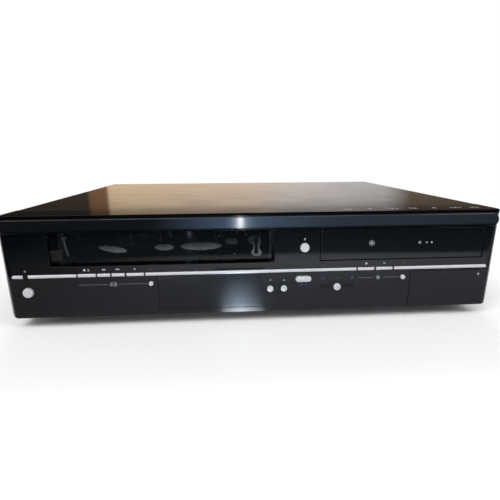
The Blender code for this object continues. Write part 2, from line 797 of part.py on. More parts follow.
def bar_outline(start, end, grow=0.0, round_start=False, round_end=False):
    half = BAR_HEIGHT / 2 + grow
    rounded = (round_start, round_end, round_end, round_start)
    return rectangle(start - grow, BAR_Z - half, end + grow, BAR_Z + half, half, rounded)


def dubbing_outline(grow=0.0):
    half_width, half_height = DUBBING_WIDTH / 2 + grow, DUBBING_HEIGHT / 2 + grow
    middle = BOTTOM + DUBBING_RISE
    return rectangle(
        DUBBING_X - half_width, middle - half_height,
        DUBBING_X + half_width, middle + half_height, half_height,
    )


def channel_recess_outline():
    middle, half = BOTTOM + CHANNEL_RISE, CHANNEL_RECESS_HEIGHT / 2
    return rectangle(CHANNEL_RECESS_START, middle - half, CHANNEL_RECESS_END, middle + half, half)


def lamp_slot_outline():
    middle, half = BOTTOM + SELECT_RISE, LAMP_SLOT_HEIGHT / 2
    return rectangle(LAMP_SLOT_START, middle - half, LAMP_SLOT_END, middle + half)


def slot_outline():
    return rectangle(SLOT_LEFT, SLOT_BASE, SLOT_RIGHT, SLOT_ROOF, SLOT_CORNER)


def tray_front_outline(grow=0.0):
    half = TRAY_FRONT_WIDTH / 2 + grow
    low = BOTTOM + TRAY_FRONT_LOW
    return rectangle(TRAY_X - half, low - grow, TRAY_X + half, low + TRAY_FRONT_HEIGHT + grow)


def jack_door_block(gap, back):
    """The space that the jack door takes in the panel's lower right corner."""
    low = (JACK_DOOR_LEFT + gap, FRONT - OVERRUN, BOTTOM - OVERRUN)
    return block(low, (RIGHT + OVERRUN, back, BOTTOM + JACK_DOOR_HEIGHT - gap))


def boss_places():
    """The switch board's bosses: X places along its lower edge."""
    return [BOARD_LEFT + share * (BOARD_RIGHT - BOARD_LEFT) for share in BOSS_SHARES]


def front_cuts():
    """Every opening, recess and groove in the front panel."""
    start, through = FRONT - OVERRUN, WALL_BACK + OVERRUN
    recess = FRONT + RECESS_DEPTH
    cuts = [
        prism(slot_outline(), start, through, "Y"),
        prism(tray_front_outline(PLAY), start, through, "Y"),
        prism(window_outline(GAP), start, FRONT + WINDOW_THICK + GAP, "Y"),
        prism(window_outline(-WINDOW_RIM), start, through, "Y"),
        prism(channel_recess_outline(), start, recess, "Y"),
        prism(lamp_slot_outline(), start, recess, "Y"),
        prism(dubbing_outline(RECESS_RIM), start, recess, "Y"),
        prism(dubbing_outline(BUTTON_PLAY), start, through, "Y"),
        jack_door_block(0, FRONT + JACK_DOOR_RETURN + PLAY),
    ]
    for outline in trim_outlines(GAP).values():
        cuts.append(prism(outline, start, FRONT + BAR_SEAT, "Y"))
    for begin, end in BAR_BUTTONS.values():
        cuts.append(prism(bar_outline(begin, end, BUTTON_PLAY), start, through, "Y"))
    for x, rise, radius, _ in ROUND_BUTTONS.values():
        cuts.append(rod("Y", x, BOTTOM + rise, radius + RECESS_RIM, start, recess))
        cuts.append(rod("Y", x, BOTTOM + rise, radius + BUTTON_PLAY, start, through))
    pin_hole = DOOR_PIN_RADIUS + GAP
    for inner, outer in ((SLOT_LEFT + OVERRUN, SLOT_LEFT), (SLOT_RIGHT - OVERRUN, SLOT_RIGHT)):
        deep = outer + math.copysign(DOOR_PIN_SEAT + GAP, outer - inner)
        low, high = sorted((inner, deep))
        cuts.append(rod("X", DOOR_HINGE_Y, DOOR_HINGE_Z, pin_hole, low, high, SMALL_SIDES))
    return cuts


def front_joins():
    """The proud band, the cheeks at the door's pins and the bosses for the switch board."""
    half = CHEEK_HEIGHT / 2
    cheek_start, cheek_end = WALL_BACK - OVERRUN / 2, WALL_BACK + CHEEK_DEPTH
    low, high = DOOR_HINGE_Z - half, DOOR_HINGE_Z + half
    band = rectangle(
        LEFT + BAND_INSET, SHELF - BAND_HEIGHT, RIGHT - BAND_INSET, SHELF, PANEL_WALL,
        (True, True, False, False),
    )
    joins = [
        prism(band, FRONT - BAND_PROUD, FRONT + PANEL_WALL / 2, "Y"),
        block((SLOT_LEFT - PANEL_WALL, cheek_start, low), (SLOT_LEFT, cheek_end, high)),
        block((SLOT_RIGHT, cheek_start, low), (SLOT_RIGHT + PANEL_WALL, cheek_end, high)),
    ]
    for x in boss_places():
        boss_z = BOTTOM + BOARD_BOSS_RISE
        joins.append(rod("Y", x, boss_z, BOSS_RADIUS, cheek_start, BOARD_Y - GAP, SMALL_SIDES))
    return joins


def front_panel():
    piece(
        "front_panel", "black_gloss", [front_block()],
        cuts=front_corners() + front_hollow(), adds=front_joins(),
    )
    combine(bpy.data.objects["front_panel"], "DIFFERENCE", front_cuts())


def trim_outlines(grow=0.0):
    """Outlines of the left, the long and the right bar of the trim."""
    return {
        "left_trim_bar": bar_outline(LEFT_BAR_START, LEFT_BAR_END, grow, round_start=True),
        "long_trim_bar": bar_outline(LONG_BAR_START, LONG_BAR_END, grow),
        "right_trim_bar": bar_outline(RIGHT_BAR_START, RIGHT_BAR_END, grow, round_end=True),
    }


def status_lamp_outline(grow=0.0):
    half = STATUS_LAMP_WIDTH / 2
    return bar_outline(STATUS_LAMP_X - half, STATUS_LAMP_X + half, grow)


def trim_bars():
    """The three silver bars; the left one has a pocket for the status lamp."""
    start = FRONT - BAR_PROUD
    pocket = prism(status_lamp_outline(GAP), start - OVERRUN, start + LAMP_THICK + GAP, "Y")
    for name, outline in trim_outlines().items():
        cuts = [pocket] if name == "left_trim_bar" else []
        piece(name, "silver_gloss", [prism(outline, start, FRONT + BAR_SEAT - GAP, "Y")], cuts=cuts)


def status_lamp():
    start = FRONT - BAR_PROUD
    piece("status_lamp", "lamp_window", [prism(status_lamp_outline(), start, start + LAMP_THICK, "Y")])


def display_window():
    piece("display_window", "smoked_clear", [prism(window_outline(), FRONT, FRONT + WINDOW_THICK, "Y")])


def switch_places():
    """The middle of every button, where its switch sits on the board."""
    places = [((begin + end) / 2, BAR_Z) for begin, end in BAR_BUTTONS.values()]
    places += [(x, BOTTOM + rise) for x, rise, _, _ in ROUND_BUTTONS.values()]
    return places + [(DUBBING_X, BOTTOM + DUBBING_RISE)]


def front_board():
    """The switch board, with its switches, the display tube and a tab up to the open button."""
    low, high = BOTTOM + BOARD_LOW, BOTTOM + BOARD_TOP
    tab_left = OPEN_CLOSE_X - BOARD_TAB_WIDTH / 2
    tab_right = OPEN_CLOSE_X + BOARD_TAB_WIDTH / 2
    tab_top = BOTTOM + BOARD_TAB_TOP
    outline = [
        (BOARD_LEFT, low), (BOARD_RIGHT, low), (BOARD_RIGHT, high), (tab_right, high),
        (tab_right, tab_top), (tab_left, tab_top), (tab_left, high), (BOARD_LEFT, high),
    ]
    half = SWITCH_SIZE / 2
    front, back = BOARD_Y - SWITCH_HEIGHT, BOARD_Y + BOARD_THICK / 2
    switches = [
        block((x - half, front, z - half), (x + half, back, z + half)) for x, z in switch_places()
    ]
    board = prism(outline, BOARD_Y, BOARD_Y + BOARD_THICK, "Y")
    middle = BOTTOM + (WINDOW_LOW + WINDOW_TOP) / 2
    tube = block(
        (TUBE_X - TUBE_WIDTH / 2, BOARD_Y - TUBE_THICK, middle - TUBE_HEIGHT / 2),
        (TUBE_X + TUBE_WIDTH / 2, back, middle + TUBE_HEIGHT / 2),
    )
    piece("front_board", "board_green", [board], joins=switches + [tube])


def bar_button(name, begin, end):
    """A flat silver key in line with the trim, its flange caught behind the panel."""
    flange = rectangle(
        begin, BAR_Z - BAR_HEIGHT / 2 - BUTTON_FLANGE, end, BAR_Z + BAR_HEIGHT / 2 + BUTTON_FLANGE,
    )
    middle = (begin + end) / 2
    key_back = FLANGE_Y + BUTTON_FLANGE_THICK / 2
    piece(
        name, "silver_gloss", [prism(bar_outline(begin, end), FRONT - BAR_PROUD, key_back, "Y")],
        joins=[
            prism(flange, FLANGE_Y, FLANGE_Y + BUTTON_FLANGE_THICK, "Y"),
            rod("Y", middle, BAR_Z, BUTTON_STEM_RADIUS, FLANGE_Y, STEM_END, SMALL_SIDES),
        ],
        pivot=(middle, FRONT, BAR_Z),
    )


def round_button(name, x, rise, radius, proud):
    """A round silver button, its flange caught behind the panel and its stem at the switch."""
    flange = radius + BUTTON_FLANGE
    behind = FLANGE_Y + BUTTON_FLANGE_THICK - FRONT
    profile = [
        (0, -proud), (radius - BUTTON_DOME, -proud), (radius, BUTTON_DOME - proud),
        (radius, FLANGE_Y - FRONT), (flange, FLANGE_Y - FRONT), (flange, behind),
        (BUTTON_STEM_RADIUS, behind), (BUTTON_STEM_RADIUS, STEM_END - FRONT), (0, STEM_END - FRONT),
    ]
    centre = (x, FRONT, BOTTOM + rise)
    piece(name, "silver_gloss", [turned(profile, centre, "Y")], pivot=centre)


def dubbing_button():
    centre = (DUBBING_X, FRONT, BOTTOM + DUBBING_RISE)
    key_back = FLANGE_Y + BUTTON_FLANGE_THICK / 2
    stem = rod("Y", centre[0], centre[2], BUTTON_STEM_RADIUS, FLANGE_Y, STEM_END, SMALL_SIDES)
    flange = prism(dubbing_outline(BUTTON_FLANGE), FLANGE_Y, FLANGE_Y + BUTTON_FLANGE_THICK, "Y")
    key = prism(dubbing_outline(), FRONT - SMALL_BUTTON_PROUD, key_back, "Y")
    piece("dubbing_button", "silver_gloss", [key], joins=[flange, stem], pivot=centre)


def cassette_door():
    """The smoked door, hung on two pins near its top."""
    left, right = SLOT_LEFT + DOOR_GAP_LEFT, SLOT_RIGHT - DOOR_GAP_RIGHT
    low = SLOT_BASE + DOOR_GAP_LOW
    outline = rectangle(left, low, right, DOOR_TOP, SLOT_CORNER)
    front = FRONT + DOOR_SETBACK
    pin = rod(
        "X", DOOR_HINGE_Y, DOOR_HINGE_Z, DOOR_PIN_RADIUS,
        SLOT_LEFT - DOOR_PIN_SEAT, SLOT_RIGHT + DOOR_PIN_SEAT, SMALL_SIDES,
    )
    piece(
        "cassette_door", "smoked_clear", [prism(outline, front, front + DOOR_THICK, "Y")],
        joins=[pin], pivot=(SLOT_X, DOOR_HINGE_Y, DOOR_HINGE_Z),
    )


def jack_door():
    """The flap over the front jacks, hung on a rail at its lower edge."""
    back = FRONT + JACK_DOOR_RETURN
    hollow = block(
        (JACK_DOOR_LEFT - OVERRUN, WALL_BACK, BOTTOM - OVERRUN),
        (RIGHT - PANEL_WALL, FRONT + PANEL_TOP_DEPTH + OVERRUN, TOP + OVERRUN),
    )
    start, end = jack_rail()
    low = (start, WALL_BACK - PANEL_WALL / 2, JACK_HINGE_Z - JACK_RAIL_HALF)
    high = (end, JACK_HINGE_Y + JACK_RAIL_HALF, JACK_HINGE_Z + JACK_RAIL_HALF)
    pins = rod(
        "X", JACK_HINGE_Y, JACK_HINGE_Z, JACK_PIN_RADIUS,
        start - JACK_PIN_LENGTH, end + JACK_PIN_LENGTH, SMALL_SIDES,
    )
    piece(
        "jack_door", "black_gloss", [front_block()], keeps=[jack_door_block(PLAY, back)],
        cuts=front_corners() + [hollow], adds=[block(low, high), pins],
        pivot=((start + end) / 2, JACK_HINGE_Y, JACK_HINGE_Z),
    )


def jack_rail():
    """Where the flap's hinge rail starts and ends, just inside the two ears."""
    start = JACK_DOOR_LEFT + JACK_EAR_INSET + JACK_EAR_THICK + GAP
    end = RIGHT - PANEL_WALL - JACK_EAR_INSET - JACK_EAR_THICK - GAP
    return start, end


def front_jacks():
    """The plate behind the flap, with three jacks and the ears that carry the flap."""
    left, right = JACK_DOOR_LEFT, RIGHT - PANEL_WALL - GAP
    plate_low, plate_high = BOTTOM + PANEL_WALL + GAP, BOTTOM + BOARD_TOP
    plate = block(
        (left, JACK_PLATE_Y, plate_low), (right, JACK_PLATE_Y + JACK_PLATE_THICK, plate_high)
    )
    inside = JACK_PLATE_Y + JACK_PLATE_THICK / 2
    joins, holes = [], []
    rail_start, rail_end = jack_rail()
    arm_low = BOTTOM + PANEL_WALL + OVERRUN
    arm_high = arm_low + PANEL_WALL
    front = JACK_HINGE_Y - JACK_EAR_HALF
    for ear in (rail_start - GAP - JACK_EAR_THICK, rail_end + GAP):
        far = ear + JACK_EAR_THICK
        hook_low = JACK_HINGE_Z - JACK_EAR_HALF
        hook = block((ear, front, hook_low), (far, JACK_HINGE_Y + JACK_EAR_HALF, arm_high))
        joins += [hook, block((ear, front, arm_low), (far, inside, arm_high))]
    for share in JACK_POST_SHARES:
        x = left + share * (right - left)
        z = BOTTOM + (JACK_DOOR_HEIGHT + BOARD_TOP) / 2
        joins.append(rod("Y", x, z, JACK_POST_RADIUS, WALL_BACK + GAP, inside, SMALL_SIDES))
    for index in range(JACK_COUNT):
        x = left + JACK_ROW_START + index * JACK_PITCH
        z = BOTTOM + JACK_ROW_HEIGHT
        mouth = JACK_PLATE_Y - JACK_BARREL
        joins.append(rod("Y", x, z, JACK_BARREL_RADIUS, mouth, inside))
        holes.append(rod("Y", x, z, JACK_BORE_RADIUS, mouth - OVERRUN, JACK_PLATE_Y, SMALL_SIDES))
    bore = JACK_PIN_RADIUS + GAP
    low, high = rail_start - GAP - JACK_EAR_THICK - OVERRUN, rail_end + JACK_EAR_THICK + OVERRUN
    holes.append(rod("X", JACK_HINGE_Y, JACK_HINGE_Z, bore, low, high, SMALL_SIDES))
    piece("front_jacks", "black_satin", [plate], joins=joins, cuts=holes)


def standoff_places():
    """The boards' posts on the base pan, near each board's corners."""
    near_back = PCB_BACK - STANDOFF_INSET
    return [
        (x, y)
        for left, right, depth in (
            (MAIN_BOARD_LEFT, MAIN_BOARD_RIGHT, MAIN_BOARD_DEPTH),
            (POWER_BOARD_LEFT, POWER_BOARD_RIGHT, POWER_BOARD_DEPTH),
        )
        for x in (left + STANDOFF_INSET, right - STANDOFF_INSET)
        for y in (PCB_BACK - depth + STANDOFF_INSET, near_back)
    ]


def side_screw_places():
    return [FRONT + share * CABINET_DEPTH for share in SIDE_SCREW_SHARES]


def screw(place, axis):
    """A screw whose head ends at place, its shank running along the axis."""
    seat = SCREW_HEAD + SHEET / 2
    profile = [
        (0, 0), (SCREW_RADIUS - SCREW_HEAD / 2, 0), (SCREW_RADIUS, SCREW_HEAD / 2),
        (SCREW_RADIUS, seat), (SCREW_SHANK, seat), (SCREW_SHANK, SCREW_LENGTH), (0, SCREW_LENGTH),
    ]
    return turned(profile, place, axis, SMALL_SIDES)


def side_screws():
    """The two screws on each side, heads outside the cover and shanks in the base's flanges."""
    z = BOTTOM + FLANGE_HEIGHT / 2
    inward = {LEFT: Matrix.Rotation(math.pi / 2, 4, "Y"), RIGHT: Matrix.Rotation(-math.pi / 2, 4, "Y")}
    return [screw((x, y, z), axis) for x, axis in inward.items() for y in side_screw_places()]


def rear_screws():
    """The three screws along the top of the rear panel."""
    inward = Matrix.Rotation(math.pi / 2, 4, "X")
    z = TOP - FLANGE_HEIGHT / 2
    return [screw((x, BACK + SCREW_HEAD, z), inward) for x in rear_screw_places()]


def chassis_base():
    """The base pan with its two side flanges and the posts for the boards."""
    back = BACK - SHEET - GAP
    high = BOTTOM + FLANGE_HEIGHT
    floor = block((-BASE_HALF, SHELL_FRONT, BOTTOM), (BASE_HALF, back, FLOOR_TOP))
    joins = [
        block((-BASE_HALF, SHELL_FRONT, BOTTOM), (SHEET - BASE_HALF, back, high)),
        block((BASE_HALF - SHEET, SHELL_FRONT, BOTTOM), (BASE_HALF, back, high)),
    ]
    for x, y in standoff_places():
        joins.append(rod("Z", x, y, STANDOFF_RADIUS, BOTTOM + SHEET / 2, PCB_LOW - GAP, SMALL_SIDES))
    bore, z = SCREW_SHANK + GAP, BOTTOM + FLANGE_HEIGHT / 2
    holes = [
        rod("X", y, z, bore, LEFT - OVERRUN, RIGHT + OVERRUN, SMALL_SIDES)
        for y in side_screw_places()
    ]
    piece("chassis_base", "plated_steel", [floor], joins=joins, cuts=holes)


def feet():
    """Four round feet under the base pan."""
    top = BOTTOM - GAP
    profile = [(0, 0), (FOOT_TOE_RADIUS, 0), (FOOT_RADIUS, top / 2), (FOOT_RADIUS, top), (0, top)]
    for side, x in (("left", LEFT + FOOT_INSET_X), ("right", RIGHT - FOOT_INSET_X)):
        for end, y in (("front", FRONT + FOOT_INSET_Y), ("rear", BACK - FOOT_INSET_Y)):
            piece(f"{end}_{side}_foot", "rubber", [turned(profile, (x, y, 0), "Z")])


def top_cover():
    """The folded steel cover: a top and two sides, with a row of vents in each side."""
    strip_end = FRONT + PANEL_TOP_DEPTH + GAP
    under_strip = TOP - PANEL_WALL - GAP
    side = [
        (SHELL_FRONT, BOTTOM), (BACK, BOTTOM), (BACK, TOP),
        (strip_end, TOP), (strip_end, under_strip), (SHELL_FRONT, under_strip),
    ]
    top = block((-COVER_HALF, strip_end, TOP - SHEET), (COVER_HALF, BACK, TOP))
    sides = [
        prism(side, -COVER_HALF, SHEET - COVER_HALF, "X"),
        prism(side, COVER_HALF - SHEET, COVER_HALF, "X"),
    ]
    middle = (BOTTOM + TOP) / 2
    vents = []
    for index in range(SIDE_VENTS):
        y = BACK - SIDE_VENT_BACK - index * VENT_PITCH
        vents.append(block(
            (LEFT - OVERRUN, y - VENT_WIDTH / 2, middle - VENT_HEIGHT / 2),
            (RIGHT + OVERRUN, y + VENT_WIDTH / 2, middle + VENT_HEIGHT / 2),
        ))
    piece("top_cover", "black_steel", [top], joins=sides, cuts=vents, adds=side_screws())


def rear_screw_places():
    span = 2 * BASE_HALF
    return [share * span - BASE_HALF for share in REAR_SCREW_SHARES]


def socket_places():
    """The phono sockets' centres on the rear."""
    return [
        (SOCKET_X + column * SOCKET_PITCH, BOTTOM + SOCKET_RISE + row * SOCKET_PITCH)
        for row in range(SOCKET_ROWS)
        for column in range(SOCKET_COLUMNS)
    ]


def scart_outline(index, grow=0.0):
    """A flat socket with one slanted end, the second above the first."""
    half = SCART_WIDTH / 2 + grow
    middle = BOTTOM + SCART_RISE + index * SCART_PITCH
    low, high = middle - SCART_HEIGHT / 2 - grow, middle + SCART_HEIGHT / 2 + grow
    slant = SCART_HEIGHT / 3
    return [
        (SCART_X - half, low), (SCART_X + half - slant, low), (SCART_X + half, low + slant),
        (SCART_X + half, high), (SCART_X - half, high),
    ]


def aerial_places():
    middle = PCB_TOP + TUNER_HEIGHT / 2
    return [(TUNER_X, middle - AERIAL_PITCH / 2), (TUNER_X, middle + AERIAL_PITCH / 2)]


def inlet_outline(grow=0.0):
    half_width, half_height = INLET_WIDTH / 2 + grow, INLET_HEIGHT / 2 + grow
    middle = BOTTOM + INLET_RISE
    return rectangle(
        INLET_X - half_width, middle - half_height, INLET_X + half_width, middle + half_height,
        half_height / 2,
    )


def rear_panel():
    """The rear plate, cut for its sockets, its inlet, its vents and its screws."""
    start, end = BACK - SHEET - OVERRUN, BACK + OVERRUN
    plate = block((-BASE_HALF, BACK - SHEET, BOTTOM), (BASE_HALF, BACK, TOP - SHEET - GAP))
    bore = SOCKET_RADIUS + GAP
    cuts = [rod("Y", x, z, bore, start, end, SMALL_SIDES) for x, z in socket_places()]
    cuts += [prism(scart_outline(index, GAP), start, end, "Y") for index in range(SCART_COUNT)]
    cuts += [rod("Y", x, z, AERIAL_RADIUS + GAP, start, end) for x, z in aerial_places()]
    cuts.append(prism(inlet_outline(GAP), start, end, "Y"))
    for index in range(REAR_VENTS):
        x = REAR_VENT_X + index * VENT_PITCH
        high = TOP - FLANGE_HEIGHT
        low = (x - VENT_WIDTH / 2, start, high - VENT_HEIGHT)
        cuts.append(block(low, (x + VENT_WIDTH / 2, end, high)))
    piece("rear_panel", "black_steel", [plate], cuts=cuts, adds=rear_screws())


def rear_sockets():
    """The phono sockets: one block behind the panel, and a bored barrel for each socket."""
    places = socket_places()
    margin = SOCKET_PITCH / 2
    low_x, high_x = places[0][0] - margin, places[-1][0] + margin
    inside = SOCKET_BACK - SCART_DEPTH
    body = block((low_x, inside, PCB_TOP + GAP), (high_x, SOCKET_BACK, places[-1][1] + margin))
    mouth = BACK + REAR_PROUD
    joins = [
        rod("Y", x, z, SOCKET_RADIUS, SOCKET_BACK - SHEET, mouth, SMALL_SIDES) for x, z in places
    ]
    bores = [rod("Y", x, z, JACK_BORE_RADIUS, BACK, mouth + OVERRUN, SMALL_SIDES) for x, z in places]
    piece("rear_sockets", "black_satin", [body], joins=joins, cuts=bores)


def scart_sockets():
    """Two flat video sockets in one housing, one above the other, each open at the back."""
    start, mouth = SOCKET_BACK - SCART_DEPTH, BACK + SCART_PROUD
    half = SCART_WIDTH / 2
    high = BOTTOM + SCART_RISE + (SCART_COUNT - 1) * SCART_PITCH + SCART_HEIGHT / 2
    housing = block((SCART_X - half, start, PCB_TOP + GAP), (SCART_X + half, SOCKET_BACK, high))
    mouths = [
        prism(scart_outline(index), SOCKET_BACK - SHEET, mouth, "Y") for index in range(SCART_COUNT)
    ]
    hollows = [
        prism(scart_outline(index, -SCART_WALL), start + SCART_WALL, mouth + OVERRUN, "Y")
        for index in range(SCART_COUNT)
    ]
    piece("scart_sockets", "black_satin", [housing], joins=mouths, cuts=hollows)


def tuner():
    """The screened tuner on the main board, with its two aerial connectors."""
    half = TUNER_WIDTH / 2
    low = (TUNER_X - half, SOCKET_BACK - TUNER_DEPTH, PCB_TOP + GAP)
    can = block(low, (TUNER_X + half, SOCKET_BACK, PCB_TOP + TUNER_HEIGHT))
    mouth = BACK + REAR_PROUD
    joins = [rod("Y", x, z, AERIAL_RADIUS, SOCKET_BACK - SHEET, mouth) for x, z in aerial_places()]
    bores = [
        rod("Y", x, z, AERIAL_BORE_RADIUS, BACK, mouth + OVERRUN, SMALL_SIDES)
        for x, z in aerial_places()
    ]
    piece("tuner", "plated_steel", [can], joins=joins, cuts=bores)


def mains_inlet():
    """The two-pin inlet, open at the back."""
    start, mouth = BACK - INLET_DEPTH, BACK + SHEET
    floor = start + INLET_WALL
    hollow = prism(inlet_outline(-INLET_WALL), floor, mouth + OVERRUN, "Y")
    pins = [
        rod("Y", x, BOTTOM + INLET_RISE, INLET_PIN_RADIUS, floor - INLET_WALL / 2,
            floor + INLET_PIN_LENGTH, SMALL_SIDES)
        for x in (INLET_X - INLET_PIN_SPACING / 2, INLET_X + INLET_PIN_SPACING / 2)
    ]
    body = prism(inlet_outline(), start, mouth, "Y")
    piece("mains_inlet", "black_satin", [body], cuts=[hollow], adds=pins)


def main_board():
    """The board along the rear, with two chips and a screened tape amplifier."""
    front = PCB_BACK - MAIN_BOARD_DEPTH
    board = block((MAIN_BOARD_LEFT, front, PCB_LOW), (MAIN_BOARD_RIGHT, PCB_BACK, PCB_TOP))
    width = MAIN_BOARD_RIGHT - MAIN_BOARD_LEFT
    inside = PCB_LOW + BOARD_THICK / 2
    near = front + STANDOFF_INSET
    chips = [
        block((x, near, inside), (x + CHIP_SIZE, near + CHIP_SIZE, PCB_TOP + CHIP_THICK))
        for x in (MAIN_BOARD_LEFT + share * width for share in CHIP_SHARES)
    ]
    shield_x = MAIN_BOARD_LEFT + width / 2
    shield = block(
        (shield_x, near, inside), (shield_x + SHIELD_WIDTH, near + CHIP_SIZE, PCB_TOP + SHIELD_HEIGHT)
    )
    piece("main_board", "board_green", [board], joins=chips + [shield])


def power_board():
    """The supply board, with its transformer, main capacitors and a finned heatsink."""
    front = PCB_BACK - POWER_BOARD_DEPTH
    board = block((POWER_BOARD_LEFT, front, PCB_LOW), (POWER_BOARD_RIGHT, PCB_BACK, PCB_TOP))
    inside = PCB_LOW + BOARD_THICK / 2
    row_y = front + STANDOFF_INSET + CAPACITOR_RADIUS
    width = POWER_BOARD_RIGHT - POWER_BOARD_LEFT
    joins = [
        rod("Z", POWER_BOARD_LEFT + share * width, row_y, CAPACITOR_RADIUS, inside,
            PCB_TOP + CAPACITOR_HEIGHT)
        for share in CAPACITOR_SHARES
    ]
    sink_x = POWER_BOARD_RIGHT - STANDOFF_INSET - HEATSINK_LENGTH
    sink_top = PCB_TOP + HEATSINK_HEIGHT
    joins.append(block((sink_x, row_y, inside), (sink_x + HEATSINK_LENGTH, row_y + FIN_THICK, sink_top)))
    step = (HEATSINK_LENGTH - FIN_THICK) / (FIN_COUNT - 1)
    for index in range(FIN_COUNT):
        x = sink_x + index * step
        joins.append(block((x, row_y, inside), (x + FIN_THICK, row_y + FIN_REACH, sink_top)))
    piece("power_board", "board_brown", [board], joins=joins + transformer())


def transformer():
    """A laminated core with its bobbin bulging out in front and behind."""
    x = (POWER_BOARD_LEFT + POWER_BOARD_RIGHT) / 2
    y = PCB_BACK - POWER_BOARD_DEPTH / 3
    low, high = PCB_TOP - BOARD_THICK / 2, PCB_TOP + TRANSFORMER_HEIGHT
    half_x, half_y = TRANSFORMER_WIDTH / 2, TRANSFORMER_DEPTH / 2
    inner = half_x - BOBBIN_BULGE
    reach = half_y + BOBBIN_BULGE
    return [
        block((x - half_x, y - half_y, low), (x + half_x, y + half_y, high)),
        block(
            (x - inner, y - reach, PCB_TOP + BOBBIN_BULGE),
            (x + inner, y + reach, high - BOBBIN_BULGE),
        ),
    ]


def reel_places():
    """The supply reel on the left and the take-up reel on the right."""
    y = FRONT + REEL_DEPTH
    return (SLOT_X - HUB_SPACING / 2, y), (SLOT_X + HUB_SPACING / 2, y)


def drum_tilt():
    return Matrix.Rotation(-DRUM_TILT, 4, "Y")


def pinch_pivot():
    """Where the pinch arm turns: its roller meets the capstan when the arm has swung over."""
    reach = SHAFT_RADIUS + PINCH_RADIUS + GAP
    x = CAPSTAN[0] + reach - PINCH_ARM_LENGTH * math.cos(PINCH_ARM_ANGLE)
    return x, CAPSTAN[1] - PINCH_ARM_LENGTH * math.sin(PINCH_ARM_ANGLE)


def roller_place():
    angle = PINCH_ARM_ANGLE + PINCH_SWING
    x, y = pinch_pivot()
    return x + PINCH_ARM_LENGTH * math.cos(angle), y + PINCH_ARM_LENGTH * math.sin(angle)


def deck_legs():
    inset = DECK_LEG_INSET
    return [
        rod("Z", x, y, DECK_LEG_RADIUS, FLOOR_TOP + GAP, DECK_TOP - DECK_WALL / 2, SMALL_SIDES)
        for x in (DECK_SIDE + inset, DECK_SIDE + 2 * DECK_HALF - inset)
        for y in (FRONT + DECK_FRONT + inset, FRONT + DECK_BACK - inset)
    ]


def deck_chassis():
    """The tape deck's plate with its walls, legs, pins, guides, heads and the drum's slanted seat."""
    right = DECK_SIDE + 2 * DECK_HALF
    front, back = FRONT + DECK_FRONT, FRONT + DECK_BACK
    wall_back, wall_top = FRONT + DECK_WALL_BACK, DECK_TOP + DECK_WALL_HEIGHT
    inside = DECK_TOP - DECK_WALL / 2
    seat = [
        (0, -DRUM_BASE_HEIGHT / 2), (DRUM_BASE_RADIUS, -DRUM_BASE_HEIGHT / 2),
        (DRUM_BASE_RADIUS, DRUM_BASE_HEIGHT), (0, DRUM_BASE_HEIGHT),
    ]
    gear_end = DECK_SIDE - GAP - GEAR_STANDOFF - LOADING_GEAR_THICK
    joins = [
        block((DECK_SIDE, front, DECK_UNDER), (DECK_SIDE + DECK_WALL, wall_back, wall_top)),
        block((right - DECK_WALL, front, DECK_UNDER), (right, wall_back, wall_top)),
        turned(seat, DRUM_CENTRE, drum_tilt()),
        rod("X", GEAR_Y, GEAR_Z, SHAFT_RADIUS, gear_end, DECK_SIDE + DECK_WALL / 2, SMALL_SIDES),
        rod("Z", *CAPSTAN, GUIDE_COLLAR_RADIUS, inside, DECK_TOP + GAP + PINCH_ARM_THICK),
        rod("Z", *pinch_pivot(), SHAFT_RADIUS, inside, DECK_TOP + GUIDE_COLLAR_HEIGHT, SMALL_SIDES),
    ]
    for x, y in reel_places():
        joins.append(rod("Z", x, y, SHAFT_RADIUS, inside, DECK_TOP + HUB_HEIGHT, SMALL_SIDES))
    bore = rod(
        "Z", *CAPSTAN, SHAFT_RADIUS + SHAFT_PLAY, DECK_UNDER - OVERRUN,
        DECK_TOP + GUIDE_COLLAR_HEIGHT + OVERRUN, SMALL_SIDES,
    )
    piece(
        "deck_chassis", "plated_steel", [block((DECK_SIDE, front, DECK_UNDER), (right, back, DECK_TOP))],
        joins=joins + deck_legs() + tape_guides() + tape_heads(), cuts=[bore],
    )


def holder_pin_places():
    return HOLDER_Y + HOLDER_PIN_INSET, HOLDER_END - HOLDER_PIN_INSET


def loading_carriage():
    """Two side plates and two cross bars that carry the cassette holder back over the deck."""
    low, high = DECK_TOP + CARRIAGE_RISE, HOLDER_TOP + CARRIAGE_BAR_GAP + CARRIAGE_WALL
    left, right = SLOT_X - CARRIAGE_HALF, SLOT_X + CARRIAGE_HALF
    bar_low = high - CARRIAGE_WALL
    joins = [block((right - CARRIAGE_WALL, HOLDER_Y, low), (right, HOLDER_END, high))]
    for y in (HOLDER_Y + CARRIAGE_BAR_WIDTH, HOLDER_END - 2 * CARRIAGE_BAR_WIDTH):
        joins.append(block((left, y, bar_low), (right, y + CARRIAGE_BAR_WIDTH, high)))
    slots = []
    half = HOLDER_PIN_RADIUS + GAP
    for y in holder_pin_places():
        slot = rectangle(y - half, HOLDER_PIN_Z - HOLDER_DROP - half, y + half, HOLDER_PIN_Z + half, half)
        slots.append(prism(slot, left - OVERRUN, right + OVERRUN, "X"))
    plate = block((left, HOLDER_Y, low), (left + CARRIAGE_WALL, HOLDER_END, high))
    piece("loading_carriage", "plated_steel", [plate], joins=joins, cuts=slots, pivot=(SLOT_X, HOLDER_Y, low))


